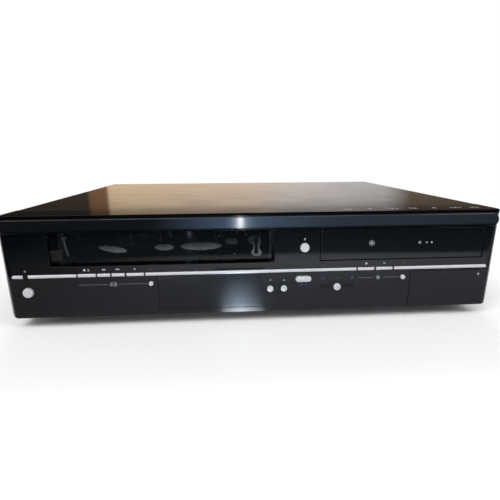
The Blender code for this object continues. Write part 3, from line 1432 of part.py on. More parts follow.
def cassette_holder():
    """A cage for the cassette, open in front, behind and in the middle of its floor."""
    left, right = SLOT_X - HOLDER_HALF, SLOT_X + HOLDER_HALF
    body = block((left, HOLDER_Y, HOLDER_LOW), (right, HOLDER_END, HOLDER_TOP))
    start, end = HOLDER_Y - OVERRUN, HOLDER_END + OVERRUN
    room = block(
        (left + HOLDER_WALL, start, HOLDER_LOW + HOLDER_WALL),
        (right - HOLDER_WALL, end, HOLDER_TOP - HOLDER_WALL),
    )
    floor = block(
        (left + HOLDER_LEDGE, start, HOLDER_LOW - OVERRUN),
        (right - HOLDER_LEDGE, end, HOLDER_LOW + HOLDER_WALL + GAP),
    )
    reach = HOLDER_WALL + GAP + CARRIAGE_WALL
    pins = []
    for y in holder_pin_places():
        for low in (left - reach + HOLDER_WALL, right - HOLDER_WALL / 2):
            end = low + reach - HOLDER_WALL / 2
            pins.append(rod("X", y, HOLDER_PIN_Z, HOLDER_PIN_RADIUS, low, end, SMALL_SIDES))
    piece(
        "cassette_holder", "plated_steel", [body], cuts=[room, floor], adds=pins,
        pivot=(SLOT_X, HOLDER_Y, HOLDER_LOW),
    )


def reel(name, x, y):
    """A reel table on its pin, with a hub that fits the cassette's."""
    bore = SHAFT_RADIUS + SHAFT_PLAY
    shoulder = REEL_FLANGE + HUB_HEIGHT
    top = shoulder + HUB_TIP_HEIGHT
    profile = [
        (bore, 0), (REEL_RADIUS, 0), (REEL_RADIUS, REEL_FLANGE), (HUB_RADIUS, REEL_FLANGE),
        (HUB_TIP_RADIUS, shoulder / 2), (HUB_TIP_RADIUS, shoulder),
        (HUB_TIP_RADIUS - HUB_TIP_HEIGHT / 2, top), (bore, top),
    ]
    place = (x, y, DECK_TOP + GAP)
    piece(name, "grey_moulding", [turned(profile, place, "Z", ring=True)], pivot=place)


def drum_point(height):
    """The point this far up the drum's slanted axis."""
    return Vector(DRUM_CENTRE) + drum_tilt() @ Vector((0, 0, height))


def lower_drum():
    """The fixed half of the head drum, with the shaft that the upper half turns on."""
    base = DRUM_BASE_HEIGHT + GAP
    top = base + LOWER_DRUM_HEIGHT
    tip = top + PLAY + UPPER_DRUM_HEIGHT + DRUM_HUB_RISE + DRUM_SHAFT_RISE
    profile = [
        (0, base), (DRUM_RADIUS, base), (DRUM_RADIUS, top), (DRUM_SHAFT_RADIUS, top),
        (DRUM_SHAFT_RADIUS, tip), (0, tip),
    ]
    piece("lower_drum", "machined_aluminium", [turned(profile, DRUM_CENTRE, drum_tilt(), FINE_SIDES)])


def upper_drum():
    """The turning half, hollowed from above round its hub."""
    bore = DRUM_SHAFT_RADIUS + SHAFT_PLAY
    high, hub = UPPER_DRUM_HEIGHT, UPPER_DRUM_HEIGHT + DRUM_HUB_RISE
    floor = high - DRUM_WALL
    profile = [
        (bore, 0), (DRUM_RADIUS, 0), (DRUM_RADIUS, high), (DRUM_RADIUS - DRUM_WALL, high),
        (DRUM_RADIUS - DRUM_WALL, floor), (DRUM_HUB_RADIUS, floor), (DRUM_HUB_RADIUS, hub), (bore, hub),
    ]
    place = drum_point(DRUM_BASE_HEIGHT + GAP + LOWER_DRUM_HEIGHT + PLAY)
    solid = turned(profile, place, drum_tilt(), FINE_SIDES, ring=True)
    piece("upper_drum", "machined_aluminium", [solid], pivot=place)


def capstan_flywheel():
    """The thin capstan above the plate and its flywheel below."""
    high = DECK_UNDER - PLAY
    place = (*CAPSTAN, high - FLYWHEEL_THICK)
    tip = DECK_TOP + CAPSTAN_HEIGHT - place[2]
    profile = [
        (0, 0), (FLYWHEEL_RADIUS, 0), (FLYWHEEL_RADIUS, FLYWHEEL_THICK),
        (SHAFT_RADIUS, FLYWHEEL_THICK), (SHAFT_RADIUS, tip), (0, tip),
    ]
    piece("capstan_flywheel", "machined_aluminium", [turned(profile, place, "Z")], pivot=place)


def pinch_arm():
    """The arm that swings the pinch roller to the capstan, with the roller's pin."""
    x, y = pinch_pivot()
    roller_x, roller_y = roller_place()
    low = DECK_TOP + GAP
    high = low + PINCH_ARM_THICK
    half = PINCH_ARM_WIDTH / 2
    angle = PINCH_ARM_ANGLE + PINCH_SWING
    side = (-half * math.sin(angle), half * math.cos(angle))
    outline = [
        (x + side[0], y + side[1]), (roller_x + side[0], roller_y + side[1]),
        (roller_x - side[0], roller_y - side[1]), (x - side[0], y - side[1]),
    ]
    joins = [
        rod("Z", x, y, half, low, high),
        rod("Z", roller_x, roller_y, half, low, high),
        rod("Z", roller_x, roller_y, SHAFT_RADIUS, low, DECK_TOP + PINCH_PIN_HEIGHT, SMALL_SIDES),
    ]
    bore = rod("Z", x, y, SHAFT_RADIUS + SHAFT_PLAY, low - OVERRUN, high + OVERRUN, SMALL_SIDES)
    piece(
        "pinch_arm", "plated_steel", [prism(outline, low, high, "Z")],
        joins=joins, cuts=[bore], pivot=(x, y, low),
    )


def pinch_roller():
    place = (*roller_place(), DECK_TOP + 2 * GAP + PINCH_ARM_THICK)
    bore = SHAFT_RADIUS + SHAFT_PLAY
    profile = [(bore, 0), (PINCH_RADIUS, 0), (PINCH_RADIUS, PINCH_HEIGHT), (bore, PINCH_HEIGHT)]
    piece("pinch_roller", "rubber", [turned(profile, place, "Z", ring=True)], pivot=place)


def tape_guides():
    """Four posts that lead the tape round the drum."""
    root = -DECK_WALL / 2
    top = GUIDE_HEIGHT - GUIDE_COLLAR_HEIGHT / 2
    profile = [
        (0, root), (GUIDE_COLLAR_RADIUS, root), (GUIDE_COLLAR_RADIUS, GUIDE_COLLAR_HEIGHT),
        (GUIDE_RADIUS, GUIDE_COLLAR_HEIGHT), (GUIDE_RADIUS, top), (GUIDE_COLLAR_RADIUS, top),
        (GUIDE_COLLAR_RADIUS, GUIDE_HEIGHT), (0, GUIDE_HEIGHT),
    ]
    return [
        turned(profile, (SLOT_X + side * x, FRONT + depth, DECK_TOP), "Z", SMALL_SIDES)
        for x, depth in ((ENTRY_GUIDE_X, ENTRY_GUIDE_DEPTH), (SLANT_GUIDE_X, SLANT_GUIDE_DEPTH))
        for side in (-1, 1)
    ]


def tape_heads():
    """The erase head before the drum, and the sound and control head after it."""
    low = DECK_TOP - DECK_WALL / 2
    solids = []
    for x, depth in ((ERASE_HEAD_X, ERASE_HEAD_DEPTH), (CONTROL_HEAD_X, CONTROL_HEAD_DEPTH)):
        left, front = SLOT_X + x - HEAD_WIDTH / 2, FRONT + depth - HEAD_LENGTH / 2
        outline = rectangle(left, front, left + HEAD_WIDTH, front + HEAD_LENGTH, HEAD_LENGTH / 4)
        solids.append(prism(outline, low, DECK_TOP + HEAD_HEIGHT, "Z"))
    return solids


def worm_z():
    return GEAR_Z - pitch_radius(LOADING_GEAR_TEETH) - TOOTH_TIP - PLAY - WORM_RADIUS


def loading_motor():
    """The motor beside the deck, its worm under the loading gear."""
    start = GEAR_Y - MOTOR_SHAFT_LENGTH / 2 - MOTOR_LENGTH
    end = start + MOTOR_LENGTH
    tip = end + MOTOR_SHAFT_LENGTH
    worm = (tip - end) / 4
    profile = [
        (0, 0), (MOTOR_RADIUS, 0), (MOTOR_RADIUS, MOTOR_LENGTH), (SHAFT_RADIUS, MOTOR_LENGTH),
        (SHAFT_RADIUS, MOTOR_LENGTH + worm), (WORM_RADIUS, MOTOR_LENGTH + worm),
        (WORM_RADIUS, tip - start), (0, tip - start),
    ]
    piece("loading_motor", "plated_steel", [turned(profile, (MOTOR_X, start, worm_z()), "Y")])


def loading_gear():
    """The gear on the deck's left wall that drives the carriage."""
    outer = DECK_SIDE - GAP - GEAR_STANDOFF - LOADING_GEAR_THICK
    face = outer + LOADING_GEAR_THICK
    outline = [(GEAR_Y + u, GEAR_Z + v) for u, v in gear_outline(LOADING_GEAR_TEETH, 0)]
    hub = rod("X", GEAR_Y, GEAR_Z, GEAR_HUB_RADIUS, outer + LOADING_GEAR_THICK / 2, DECK_SIDE - GAP)
    bore = rod(
        "X", GEAR_Y, GEAR_Z, SHAFT_RADIUS + SHAFT_PLAY, outer - OVERRUN, DECK_SIDE + OVERRUN, SMALL_SIDES
    )
    piece(
        "loading_gear", "cream_moulding", [prism(outline, outer, face, "X")],
        joins=[hub], cuts=[bore], pivot=(outer, GEAR_Y, GEAR_Z),
    )


def tray_gear_low():
    return SLAB_LOW - PLAY - TRAY_GEAR_THICK


def pinion_place():
    """Beside the tray gear, so that the two just clear each other."""
    reach = pitch_radius(TRAY_GEAR_TEETH) + TOOTH_TIP + PLAY + PINION_RADIUS
    return (
        TRAY_GEAR_X + reach * math.cos(PINION_ANGLE),
        TRAY_GEAR_Y + reach * math.sin(PINION_ANGLE),
    )


def loader_joins():
    """The loader's walls, ledges, tabs, legs, posts and bearings."""
    left, right = TRAY_X - LOADER_HALF, TRAY_X + LOADER_HALF
    front, back = FRONT + LOADER_FRONT, FRONT + LOADER_BACK
    inside = LOADER_DECK - LOADER_FLOOR / 2
    ledge_top = SLAB_LOW - GAP
    ledge_low = ledge_top - LOADER_LEDGE_THICK
    tab_low, tab_high = SLAB_TOP + GAP, SLAB_TOP + GAP + LOADER_LEDGE_THICK
    joins = [
        block((left, front, LOADER_BASE), (left + LOADER_WALL, back, LOADER_TOP)),
        block((right - LOADER_WALL, front, LOADER_BASE), (right, back, LOADER_TOP)),
        block((left, back - LOADER_WALL, LOADER_BASE), (right, back, LOADER_TOP)),
    ]
    for wall, inner, tab in (
        (left, left + LOADER_LEDGE, left + TRAY_SIDE_TAB), (right, right - LOADER_LEDGE, right - TRAY_SIDE_TAB)
    ):
        start, end = sorted((wall, inner))
        joins.append(block((start, front, ledge_low), (end, SLAB_BACK, ledge_top)))
        start, end = sorted((wall, tab))
        for share in TAB_SHARES:
            y = front + share * (back - front)
            joins.append(block((start, y, tab_low), (end, y + LOADER_LEG_SIZE, tab_high)))
    size = LOADER_LEG_SIZE
    for x in (left, right - size):
        for y in (front, back - size):
            joins.append(block((x, y, FLOOR_TOP + GAP), (x + size, y + size, inside)))
    for side in (-1, 1):
        post_x = TRAY_X + side * TRAVERSE_REST_X
        post_y = FRONT + TRAVERSE_FRONT + BEARING_HALF
        joins.append(rod("Z", post_x, post_y, BEARING_HALF, inside, TRAVERSE_LOW - GAP, SMALL_SIDES))
        start = TRAVERSE_WIDTH / 2 + TRAVERSE_PIN_LENGTH / 3
        near, far = sorted((TRAY_X + side * start, TRAY_X + side * (start + TRAVERSE_PIN_LENGTH)))
        joins.append(block(
            (near, TRAVERSE_HINGE_Y - BEARING_HALF, inside),
            (far, TRAVERSE_HINGE_Y + BEARING_HALF, TRAVERSE_HINGE_Z + BEARING_HALF),
        ))
    post = (TRAY_GEAR_X, TRAY_GEAR_Y)
    joins.append(rod("Z", *post, TRAY_GEAR_POST_RADIUS, inside, tray_gear_low() - GAP, SMALL_SIDES))
    joins.append(rod("Z", *post, SHAFT_RADIUS, inside, tray_gear_low() + TRAY_GEAR_THICK, SMALL_SIDES))
    return joins


def loader_frame():
    """The disc drive's frame, with a window in its floor under the traverse."""
    left, right = TRAY_X - LOADER_HALF, TRAY_X + LOADER_HALF
    front, back = FRONT + LOADER_FRONT, FRONT + LOADER_BACK
    half = TRAVERSE_WIDTH / 2 + TRAVERSE_PIN_LENGTH / 3 - LOADER_WALL / 2
    under = LOADER_BASE - OVERRUN
    bore = TRAVERSE_PIN_RADIUS + SHAFT_PLAY
    cuts = [
        block(
            (TRAY_X - half, FRONT + LOADER_WINDOW_FRONT, under),
            (TRAY_X + half, back - LOADER_WINDOW_INSET, LOADER_DECK + OVERRUN),
        ),
        rod("Z", *pinion_place(), SHAFT_RADIUS + PLAY, under, LOADER_DECK + OVERRUN, SMALL_SIDES),
        rod(
            "X", TRAVERSE_HINGE_Y, TRAVERSE_HINGE_Z, bore,
            left + LOADER_LEDGE, right - LOADER_LEDGE, SMALL_SIDES,
        ),
    ]
    floor = block((left, front, LOADER_BASE), (right, back, LOADER_DECK))
    piece("loader_frame", "black_satin", [floor], joins=loader_joins(), cuts=cuts)


def rack_teeth():
    return round((TRAY_LENGTH - RACK_START) / TOOTH_PITCH)


def disc_tray():
    """The sliding tray, with the disc's seat, the slot over the turntable and the rack below."""
    half = TRAY_WIDTH / 2
    slab = block((TRAY_X - half, SLAB_FRONT, SLAB_LOW), (TRAY_X + half, SLAB_BACK, SLAB_TOP))
    rack = rack_outline(SLAB_FRONT + RACK_START, rack_teeth(), RACK_X, RACK_X + RACK_BACK)
    slot = TRAY_SLOT_WIDTH / 2
    low, high = SLAB_LOW - OVERRUN, SLAB_TOP + OVERRUN
    cuts = [
        rod("Z", TRAY_X, DISC_Y, SEAT_RADIUS, SLAB_TOP - DISC_SEAT_DEPTH, high, FINE_SIDES),
        rod("Z", TRAY_X, DISC_Y, slot, low, high),
        block((TRAY_X - slot, DISC_Y, low), (TRAY_X + slot, SLAB_BACK + OVERRUN, high)),
    ]
    piece(
        "disc_tray", "black_satin", [slab],
        joins=[prism(rack, SLAB_LOW - RACK_DEPTH, SLAB_LOW + DISC_SEAT_DEPTH / 2, "Z")], cuts=cuts,
        pivot=(TRAY_X, SLAB_FRONT, SLAB_LOW),
    )


def tray_front():
    solid = prism(tray_front_outline(), FRONT, FRONT + TRAY_FRONT_THICK, "Y")
    piece("tray_front", "black_gloss", [solid])


def tray_gear():
    """The gear that drives the rack, turned so that its teeth sit between the rack's."""
    first = SLAB_FRONT + RACK_START + TOOTH_PITCH / 2
    offset = (first - TRAY_GEAR_Y) % TOOTH_PITCH - TOOTH_PITCH / 2
    phase = math.pi - offset / pitch_radius(TRAY_GEAR_TEETH)
    outline = [
        (TRAY_GEAR_X + u, TRAY_GEAR_Y + v) for u, v in gear_outline(TRAY_GEAR_TEETH, phase)
    ]
    low, high = tray_gear_low(), tray_gear_low() + TRAY_GEAR_THICK
    bore = rod(
        "Z", TRAY_GEAR_X, TRAY_GEAR_Y, SHAFT_RADIUS + SHAFT_PLAY, low - OVERRUN, high + OVERRUN,
        SMALL_SIDES,
    )
    piece(
        "tray_gear", "cream_moulding", [prism(outline, low, high, "Z")], cuts=[bore],
        pivot=(TRAY_GEAR_X, TRAY_GEAR_Y, low),
    )


def tray_motor():
    """The motor under the loader's floor, its pinion up beside the tray gear."""
    base = LOADER_BASE - GAP - MOTOR_LENGTH
    pinion = tray_gear_low() - base
    tip = pinion + TRAY_GEAR_THICK
    profile = [
        (0, 0), (MOTOR_RADIUS, 0), (MOTOR_RADIUS, MOTOR_LENGTH), (SHAFT_RADIUS, MOTOR_LENGTH),
        (SHAFT_RADIUS, pinion), (PINION_RADIUS, pinion), (PINION_RADIUS, tip), (0, tip),
    ]
    piece("tray_motor", "plated_steel", [turned(profile, (*pinion_place(), base), "Z")])


def turntable_top():
    return SLAB_LOW - TURNTABLE_DROP - TURNTABLE_CONE_HEIGHT


def spindle_motor_top():
    return turntable_top() - TURNTABLE_THICK - PLAY


def rail_bearings(x):
    """A bearing in front of the sled's window and one behind it, at this X."""
    bearings = []
    for start in (RAIL_START - BEARING_THICK - GAP, RAIL_END + GAP):
        bearings.append(block(
            (x - BEARING_HALF, start, TRAVERSE_LOW + TRAVERSE_THICK / 2),
            (x + BEARING_HALF, start + BEARING_THICK, LEAD_Z + BEARING_HALF),
        ))
    return bearings


def traverse():
    """The plate that carries the spindle motor, the sled's rails and the lead screw's bearings."""
    half = TRAVERSE_WIDTH / 2
    plate = block(
        (TRAY_X - half, FRONT + TRAVERSE_FRONT, TRAVERSE_LOW),
        (TRAY_X + half, FRONT + TRAVERSE_BACK, TRAVERSE_TOP),
    )
    window = block(
        (TRAY_X - TRAVERSE_WINDOW_HALF, RAIL_START, TRAVERSE_LOW - OVERRUN),
        (TRAY_X + TRAVERSE_WINDOW_HALF, RAIL_END, TRAVERSE_TOP + OVERRUN),
    )
    top = spindle_motor_top()
    lead_x = TRAY_X + LEAD_X
    reach = half + TRAVERSE_PIN_LENGTH
    adds = rail_bearings(TRAY_X - ROD_X) + rail_bearings(TRAY_X + ROD_X) + rail_bearings(lead_x)
    adds.append(rod("Z", TRAY_X, DISC_Y, SPINDLE_MOTOR_RADIUS, top - SPINDLE_MOTOR_HEIGHT, top))
    middle_start, middle_end = RAIL_START - BEARING_THICK / 2, RAIL_END + BEARING_THICK / 2
    for x in (TRAY_X - ROD_X, TRAY_X + ROD_X):
        adds.append(rod("Y", x, LEAD_Z, ROD_RADIUS, middle_start, middle_end, SMALL_SIDES))
    for start, end in ((TRAY_X - reach, TRAY_X - half + GAP), (TRAY_X + half - GAP, TRAY_X + reach)):
        pin_y, pin_z = TRAVERSE_HINGE_Y, TRAVERSE_HINGE_Z
        adds.append(rod("X", pin_y, pin_z, TRAVERSE_PIN_RADIUS, start, end, SMALL_SIDES))
    piece(
        "traverse", "plated_steel", [plate], cuts=[window], adds=adds,
        pivot=(TRAY_X, TRAVERSE_HINGE_Y, TRAVERSE_HINGE_Z),
    )
    bores = [
        rod("Y", lead_x, LEAD_Z, JOURNAL_RADIUS + SHAFT_PLAY, RAIL_START - 2 * BEARING_THICK,
            RAIL_END + 2 * BEARING_THICK, SMALL_SIDES),
        rod("Z", TRAY_X, DISC_Y, SHAFT_RADIUS + SHAFT_PLAY,
            top - SPINDLE_MOTOR_HEIGHT + TRAVERSE_THICK, top + OVERRUN, SMALL_SIDES),
    ]
    combine(bpy.data.objects["traverse"], "DIFFERENCE", bores)


def turntable():
    """The disc's seat with its centring cone, its shaft down in the spindle motor."""
    place = (TRAY_X, DISC_Y, turntable_top())
    shaft = -TURNTABLE_THICK - PLAY - SPINDLE_MOTOR_HEIGHT / 2
    slope = TURNTABLE_CONE_HEIGHT / 2
    profile = [
        (0, shaft), (SHAFT_RADIUS, shaft), (SHAFT_RADIUS, -TURNTABLE_THICK),
        (TURNTABLE_RADIUS, -TURNTABLE_THICK), (TURNTABLE_RADIUS, 0), (TURNTABLE_CONE_RADIUS, 0),
        (TURNTABLE_CONE_RADIUS - slope, TURNTABLE_CONE_HEIGHT), (0, TURNTABLE_CONE_HEIGHT),
    ]
    piece("turntable", "black_satin", [turned(profile, place, "Z")], pivot=place)


def pickup_sled():
    """The laser pickup on its two rails, with its lens on top and a half nut on the lead screw."""
    start = DISC_Y + SLED_START
    end = start + SLED_LENGTH
    low, high = LEAD_Z - SLED_HEIGHT / 2, LEAD_Z + SLED_HEIGHT / 2
    half = ROD_X + BEARING_HALF
    body = block((TRAY_X - half, start, low), (TRAY_X + half, end, high))
    nut = block(
        (TRAY_X + half - LENS_RIM, start + SLED_LENGTH / 3, LEAD_Z),
        (TRAY_X + LEAD_X + BEARING_HALF, end - SLED_LENGTH / 3, high),
    )
    rim = LENS_RADIUS + LENS_RIM
    lens_y = start + rim + LENS_RIM
    lens = turned(
        [(0, -LENS_RIM), (rim, -LENS_RIM), (rim, LENS_HEIGHT / 2), (LENS_RADIUS, LENS_HEIGHT / 2),
         (LENS_RADIUS / 2, LENS_HEIGHT), (0, LENS_HEIGHT)],
        (TRAY_X, lens_y, high), "Z",
    )
    bore = ROD_RADIUS + SHAFT_PLAY
    thread = LEAD_RADIUS + SHAFT_PLAY
    before, after = start - OVERRUN, end + OVERRUN
    cuts = [
        rod("Y", TRAY_X - ROD_X, LEAD_Z, bore, before, after, SMALL_SIDES),
        rod("Y", TRAY_X + ROD_X, LEAD_Z, bore, before, after, SMALL_SIDES),
        rod("Y", TRAY_X + LEAD_X, LEAD_Z, thread, before, after, SMALL_SIDES),
    ]
    piece(
        "pickup_sled", "machined_aluminium", [body], joins=[nut, lens], cuts=cuts,
        pivot=(TRAY_X, start, LEAD_Z),
    )


def lead_screw():
    """The screw that moves the sled, on a thinner journal at each end."""
    length = RAIL_END - RAIL_START
    journal = GAP + BEARING_THICK * 3 / 4
    profile = [
        (0, -journal), (JOURNAL_RADIUS, -journal), (JOURNAL_RADIUS, 0), (LEAD_RADIUS, 0),
        (LEAD_RADIUS, length), (JOURNAL_RADIUS, length), (JOURNAL_RADIUS, length + journal),
        (0, length + journal),
    ]
    place = (TRAY_X + LEAD_X, RAIL_START, LEAD_Z)
    piece("lead_screw", "plated_steel", [turned(profile, place, "Y", SMALL_SIDES)], pivot=place)


def clamp_bridge():
    """The plate across the loader that holds the clamp puck over the turntable."""
    half = BRIDGE_WIDTH / 2
    low = (TRAY_X - LOADER_HALF, DISC_Y - half, BRIDGE_LOW)
    plate = block(low, (TRAY_X + LOADER_HALF, DISC_Y + half, BRIDGE_TOP))
    hole = rod("Z", TRAY_X, DISC_Y, BRIDGE_HOLE_RADIUS, BRIDGE_LOW - OVERRUN, BRIDGE_TOP + OVERRUN)
    piece("clamp_bridge", "plated_steel", [plate], cuts=[hole])


def clamp_puck():
    """The puck that presses the disc down, hanging in the bridge by its flange."""
    place = (TRAY_X, DISC_Y, BRIDGE_LOW - PUCK_DROP)
    flange = BRIDGE_TOP + GAP - place[2]
    profile = [
        (0, 0), (PUCK_NECK_RADIUS, 0), (PUCK_NECK_RADIUS, flange), (PUCK_RADIUS, flange),
        (PUCK_RADIUS, flange + PUCK_FLANGE), (0, flange + PUCK_FLANGE),
    ]
    piece("clamp_puck", "cream_moulding", [turned(profile, place, "Z")], pivot=place)


def buttons():
    for name, (begin, end) in BAR_BUTTONS.items():
        bar_button(name, begin, end)
    for name, (x, rise, radius, proud) in ROUND_BUTTONS.items():
        round_button(name, x, rise, radius, proud)
    dubbing_button()


def case():
    chassis_base()
    top_cover()
    rear_panel()
    feet()


def front():
    front_panel()
    jack_door()
    front_jacks()
    trim_bars()
    status_lamp()
    display_window()
    front_board()
    buttons()
    cassette_door()


def tape_deck():
    deck_chassis()
    loading_carriage()
    cassette_holder()
    for name, place in zip(("supply_reel", "takeup_reel"), reel_places()):
        reel(name, *place)
    lower_drum()
    upper_drum()
    capstan_flywheel()
    pinch_arm()
    pinch_roller()
    loading_motor()
    loading_gear()


def disc_drive():
    loader_frame()
    disc_tray()
    tray_front()
    tray_gear()
    tray_motor()
    traverse()
    turntable()
    pickup_sled()
    lead_screw()
    clamp_bridge()
    clamp_puck()


def electronics():
    main_board()
    power_board()
    rear_sockets()
    scart_sockets()
    tuner()
    mains_inlet()


clear_scene()
front()
case()
tape_deck()
disc_drive()
electronics()
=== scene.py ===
"""The looks of a disc recorder and cassette recorder in one cabinet.

X runs to the right seen from the front, Y runs back and Z runs up, in metres. Heights on the front
are measured up from the front panel's lower edge. A texture's size is given in millimetres.
"""

import json
import math

import bmesh
import bpy
from mathutils import Matrix, Vector


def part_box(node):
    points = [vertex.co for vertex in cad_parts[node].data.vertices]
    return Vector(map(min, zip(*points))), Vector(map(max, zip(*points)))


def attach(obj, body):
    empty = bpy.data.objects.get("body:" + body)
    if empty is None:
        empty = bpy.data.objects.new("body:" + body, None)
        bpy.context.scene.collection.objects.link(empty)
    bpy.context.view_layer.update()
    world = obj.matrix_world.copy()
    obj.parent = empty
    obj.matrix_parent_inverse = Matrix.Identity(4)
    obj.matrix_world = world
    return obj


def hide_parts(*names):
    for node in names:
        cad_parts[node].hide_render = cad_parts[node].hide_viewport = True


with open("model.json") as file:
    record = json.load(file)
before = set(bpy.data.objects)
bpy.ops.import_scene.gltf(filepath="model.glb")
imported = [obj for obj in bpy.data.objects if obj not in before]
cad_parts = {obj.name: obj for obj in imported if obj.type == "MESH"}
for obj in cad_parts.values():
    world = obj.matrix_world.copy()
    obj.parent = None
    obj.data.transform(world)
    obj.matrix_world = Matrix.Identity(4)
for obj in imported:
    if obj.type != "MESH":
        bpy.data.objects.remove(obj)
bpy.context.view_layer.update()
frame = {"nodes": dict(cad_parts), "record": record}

# The frame's own planes and places
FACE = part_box("tray_front")[0].y
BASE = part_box("front_panel")[0].z
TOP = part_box("top_cover")[1].z
HALF_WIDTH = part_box("front_panel")[1].x
BAR_LOW, BAR_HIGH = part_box("long_trim_bar")[0].z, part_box("long_trim_bar")[1].z
BAR_Z = (BAR_LOW + BAR_HIGH) / 2
SOCKET_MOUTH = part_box("rear_sockets")[1].y

# Camera, solved from the photograph's edges
LENS = 25.97
CAMERA_PLACE = (-0.02602, -0.46888, 0.14844)
CAMERA_RIGHT = Vector((0.99797822, -0.06333435, -0.00531324))
CAMERA_UP = Vector((0.02148947, 0.25757481, 0.96601937))
CAMERA_BACK = Vector((-0.05981365, -0.96418047, 0.25841507))

# Edge rounds, the angle past which an edge stays sharp, how far a print stands and sinks, and how
# finely turned pieces and arcs are divided
EDGE = 0.00025
FINE_EDGE = 0.00012
SMOOTH_ANGLE = math.radians(32)
JOIN_DISTANCE = 0.000002
PRINT_PROUD = 0.00004
PRINT_SINK = 0.00003
ROUND_SIDES = 96
ARC_STEPS = 14
ELLIPSE_SIDES = 64
DISC_SIDES = 32
STEM_SIDES = 24

# A noise pattern's values run mostly between these two
CLOUD_LOW, CLOUD_HIGH = 0.35, 0.65

# Pale ovals on the door: middle, half sizes and tilt in degrees; then the heights they fade over
OVALS = (
    (-0.1245, 0.0600, 0.0117, 0.0027, -9), (-0.0810, 0.0608, 0.0080, 0.0028, 0),
    (-0.0495, 0.0612, 0.0175, 0.0035, 0), (-0.0230, 0.0650, 0.0058, 0.0026, -4),
)
OVAL_LOW, OVAL_HIGH = 0.0565, 0.0650


def linear(colour):
    """An sRGB hex colour as the linear values that a shader takes."""
    values = [int(colour[place:place + 2], 16) / 255 for place in (1, 3, 5)]
    return (*(v / 12.92 if v <= 0.04045 else ((v + 0.055) / 1.055) ** 2.4 for v in values), 1.0)


def per_size(millimetres):
    """A texture's scale that makes one of its cells this big."""
    return 1000 / millimetres


def add(tree, kind, links=None, **settings):
    """A node with its settings, and for each input a value or another node's output."""
    node = tree.nodes.new(kind)
    for name, value in settings.items():
        setattr(node, name, value)
    for name, value in (links or {}).items():
        if isinstance(value, bpy.types.NodeSocket):
            tree.links.new(value, node.inputs[name])
        else:
            node.inputs[name].default_value = value
    return node


def mapped(tree, value, start, end, low=0.0, high=1.0):
    """A value brought from one range to another, and held there."""
    links = {"Value": value, "From Min": start, "From Max": end, "To Min": low, "To Max": high}
    return add(tree, "ShaderNodeMapRange", links).outputs["Result"]


def blend(tree, share, first, second):
    """Two colours mixed by share."""
    return add(tree, "ShaderNodeMix", {0: share, 6: first, 7: second}, data_type="RGBA").outputs[2]


def finish(name, colour, roughness, **sockets):
    """A new material: its plain colour and roughness, and other sockets by their words."""
    made = bpy.data.materials.new(name)
    made.use_nodes = True
    shader = made.node_tree.nodes["Principled BSDF"]
    shader.inputs["Base Color"].default_value = linear(colour)
    shader.inputs["Roughness"].default_value = roughness
    for words, value in sockets.items():
        shader.inputs[words.replace("_", " ")].default_value = value
    return made


def shader_of(made):
    return made.node_tree, made.node_tree.nodes["Principled BSDF"]


def place_of(tree):
    return add(tree, "ShaderNodeTexCoord").outputs["Object"]


def axis_of(tree, axis):
    return add(tree, "ShaderNodeSeparateXYZ", {"Vector": place_of(tree)}).outputs[axis]


def cloud(tree, millimetres, detail=2.0):
    """A smooth random pattern whose cells have this size."""
    links = {"Vector": place_of(tree), "Scale": per_size(millimetres), "Detail": detail}
    return add(tree, "ShaderNodeTexNoise", links).outputs["Fac"]


def vary_roughness(made, millimetres, low, high):
    """Roughness that drifts between two values over patches of this size."""
    tree, shader = shader_of(made)
    share = mapped(tree, cloud(tree, millimetres), CLOUD_LOW, CLOUD_HIGH, low, high)
    tree.links.new(share, shader.inputs["Roughness"])


def vary_colour(made, millimetres, dark, light):
    """Colour that drifts between two tones over patches of this size."""
    tree, shader = shader_of(made)
    mixed = blend(tree, cloud(tree, millimetres, 4.0), linear(dark), linear(light))
    tree.links.new(mixed, shader.inputs["Base Color"])


def add_grain(made, millimetres, depth):
    """Fine relief: bumps of this size, this deep in metres."""
    tree, shader = shader_of(made)
    links = {"Height": cloud(tree, millimetres), "Distance": depth, "Strength": 1.0}
    relief = add(tree, "ShaderNodeBump", links)
    tree.links.new(relief.outputs["Normal"], shader.inputs["Normal"])


def polished_black_abs():
    """Black ABS from a polished mould: a near mirror with long faint ripples and a haze of
    handling. Below the trim the mould is lightly blasted, so the panel turns charcoal and dull."""
    made = finish("polished_black_abs", "#08090c", 0.08, IOR=1.5)
    tree, shader = shader_of(made)
    upper = mapped(tree, axis_of(tree, "Z"), BAR_Z - EDGE, BAR_Z + EDGE)
    tone = blend(tree, upper, linear("#1b1b1d"), linear("#05070a"))
    mirror = mapped(tree, cloud(tree, 30), 0.35, 0.7, 0.05, 0.10)
    links = {0: upper, 2: 0.27, 3: mirror}
    mixed = add(tree, "ShaderNodeMix", links, data_type="FLOAT").outputs[0]
    ripple = {"Height": cloud(tree, 14), "Distance": 0.000015, "Strength": 1.0}
    relief = add(tree, "ShaderNodeBump", ripple).outputs["Normal"]
    tree.links.new(tone, shader.inputs["Base Color"])
    tree.links.new(mixed, shader.inputs["Roughness"])
    tree.links.new(relief, shader.inputs["Normal"])
    return made


def satin_black_abs():
    """Black ABS from a spark-eroded mould: an even fine grain that scatters highlights. The grain
    is drawn coarser than the real one, so that it shows."""
    made = finish("satin_black_abs", "#141416", 0.42, IOR=1.52)
    add_grain(made, 0.5, 0.00001)
    vary_roughness(made, 20, 0.36, 0.48)
    return made


def smoked_acrylic():
    """Cast acrylic tinted nearly black: clear enough to show what stands close behind it."""
    made = finish("smoked_acrylic", "#05070a", 0.04, IOR=1.49, Alpha=0.45)
    add_grain(made, 18, 0.00001)
    return made


def blasted_window_acrylic():
    """Deeply tinted acrylic with a lightly blasted face: as dark and dull as the panel round it."""
    made = finish("blasted_window_acrylic", "#1b1c1f", 0.2, IOR=1.49, Alpha=0.94)
    vary_roughness(made, 25, 0.18, 0.24)
    return made


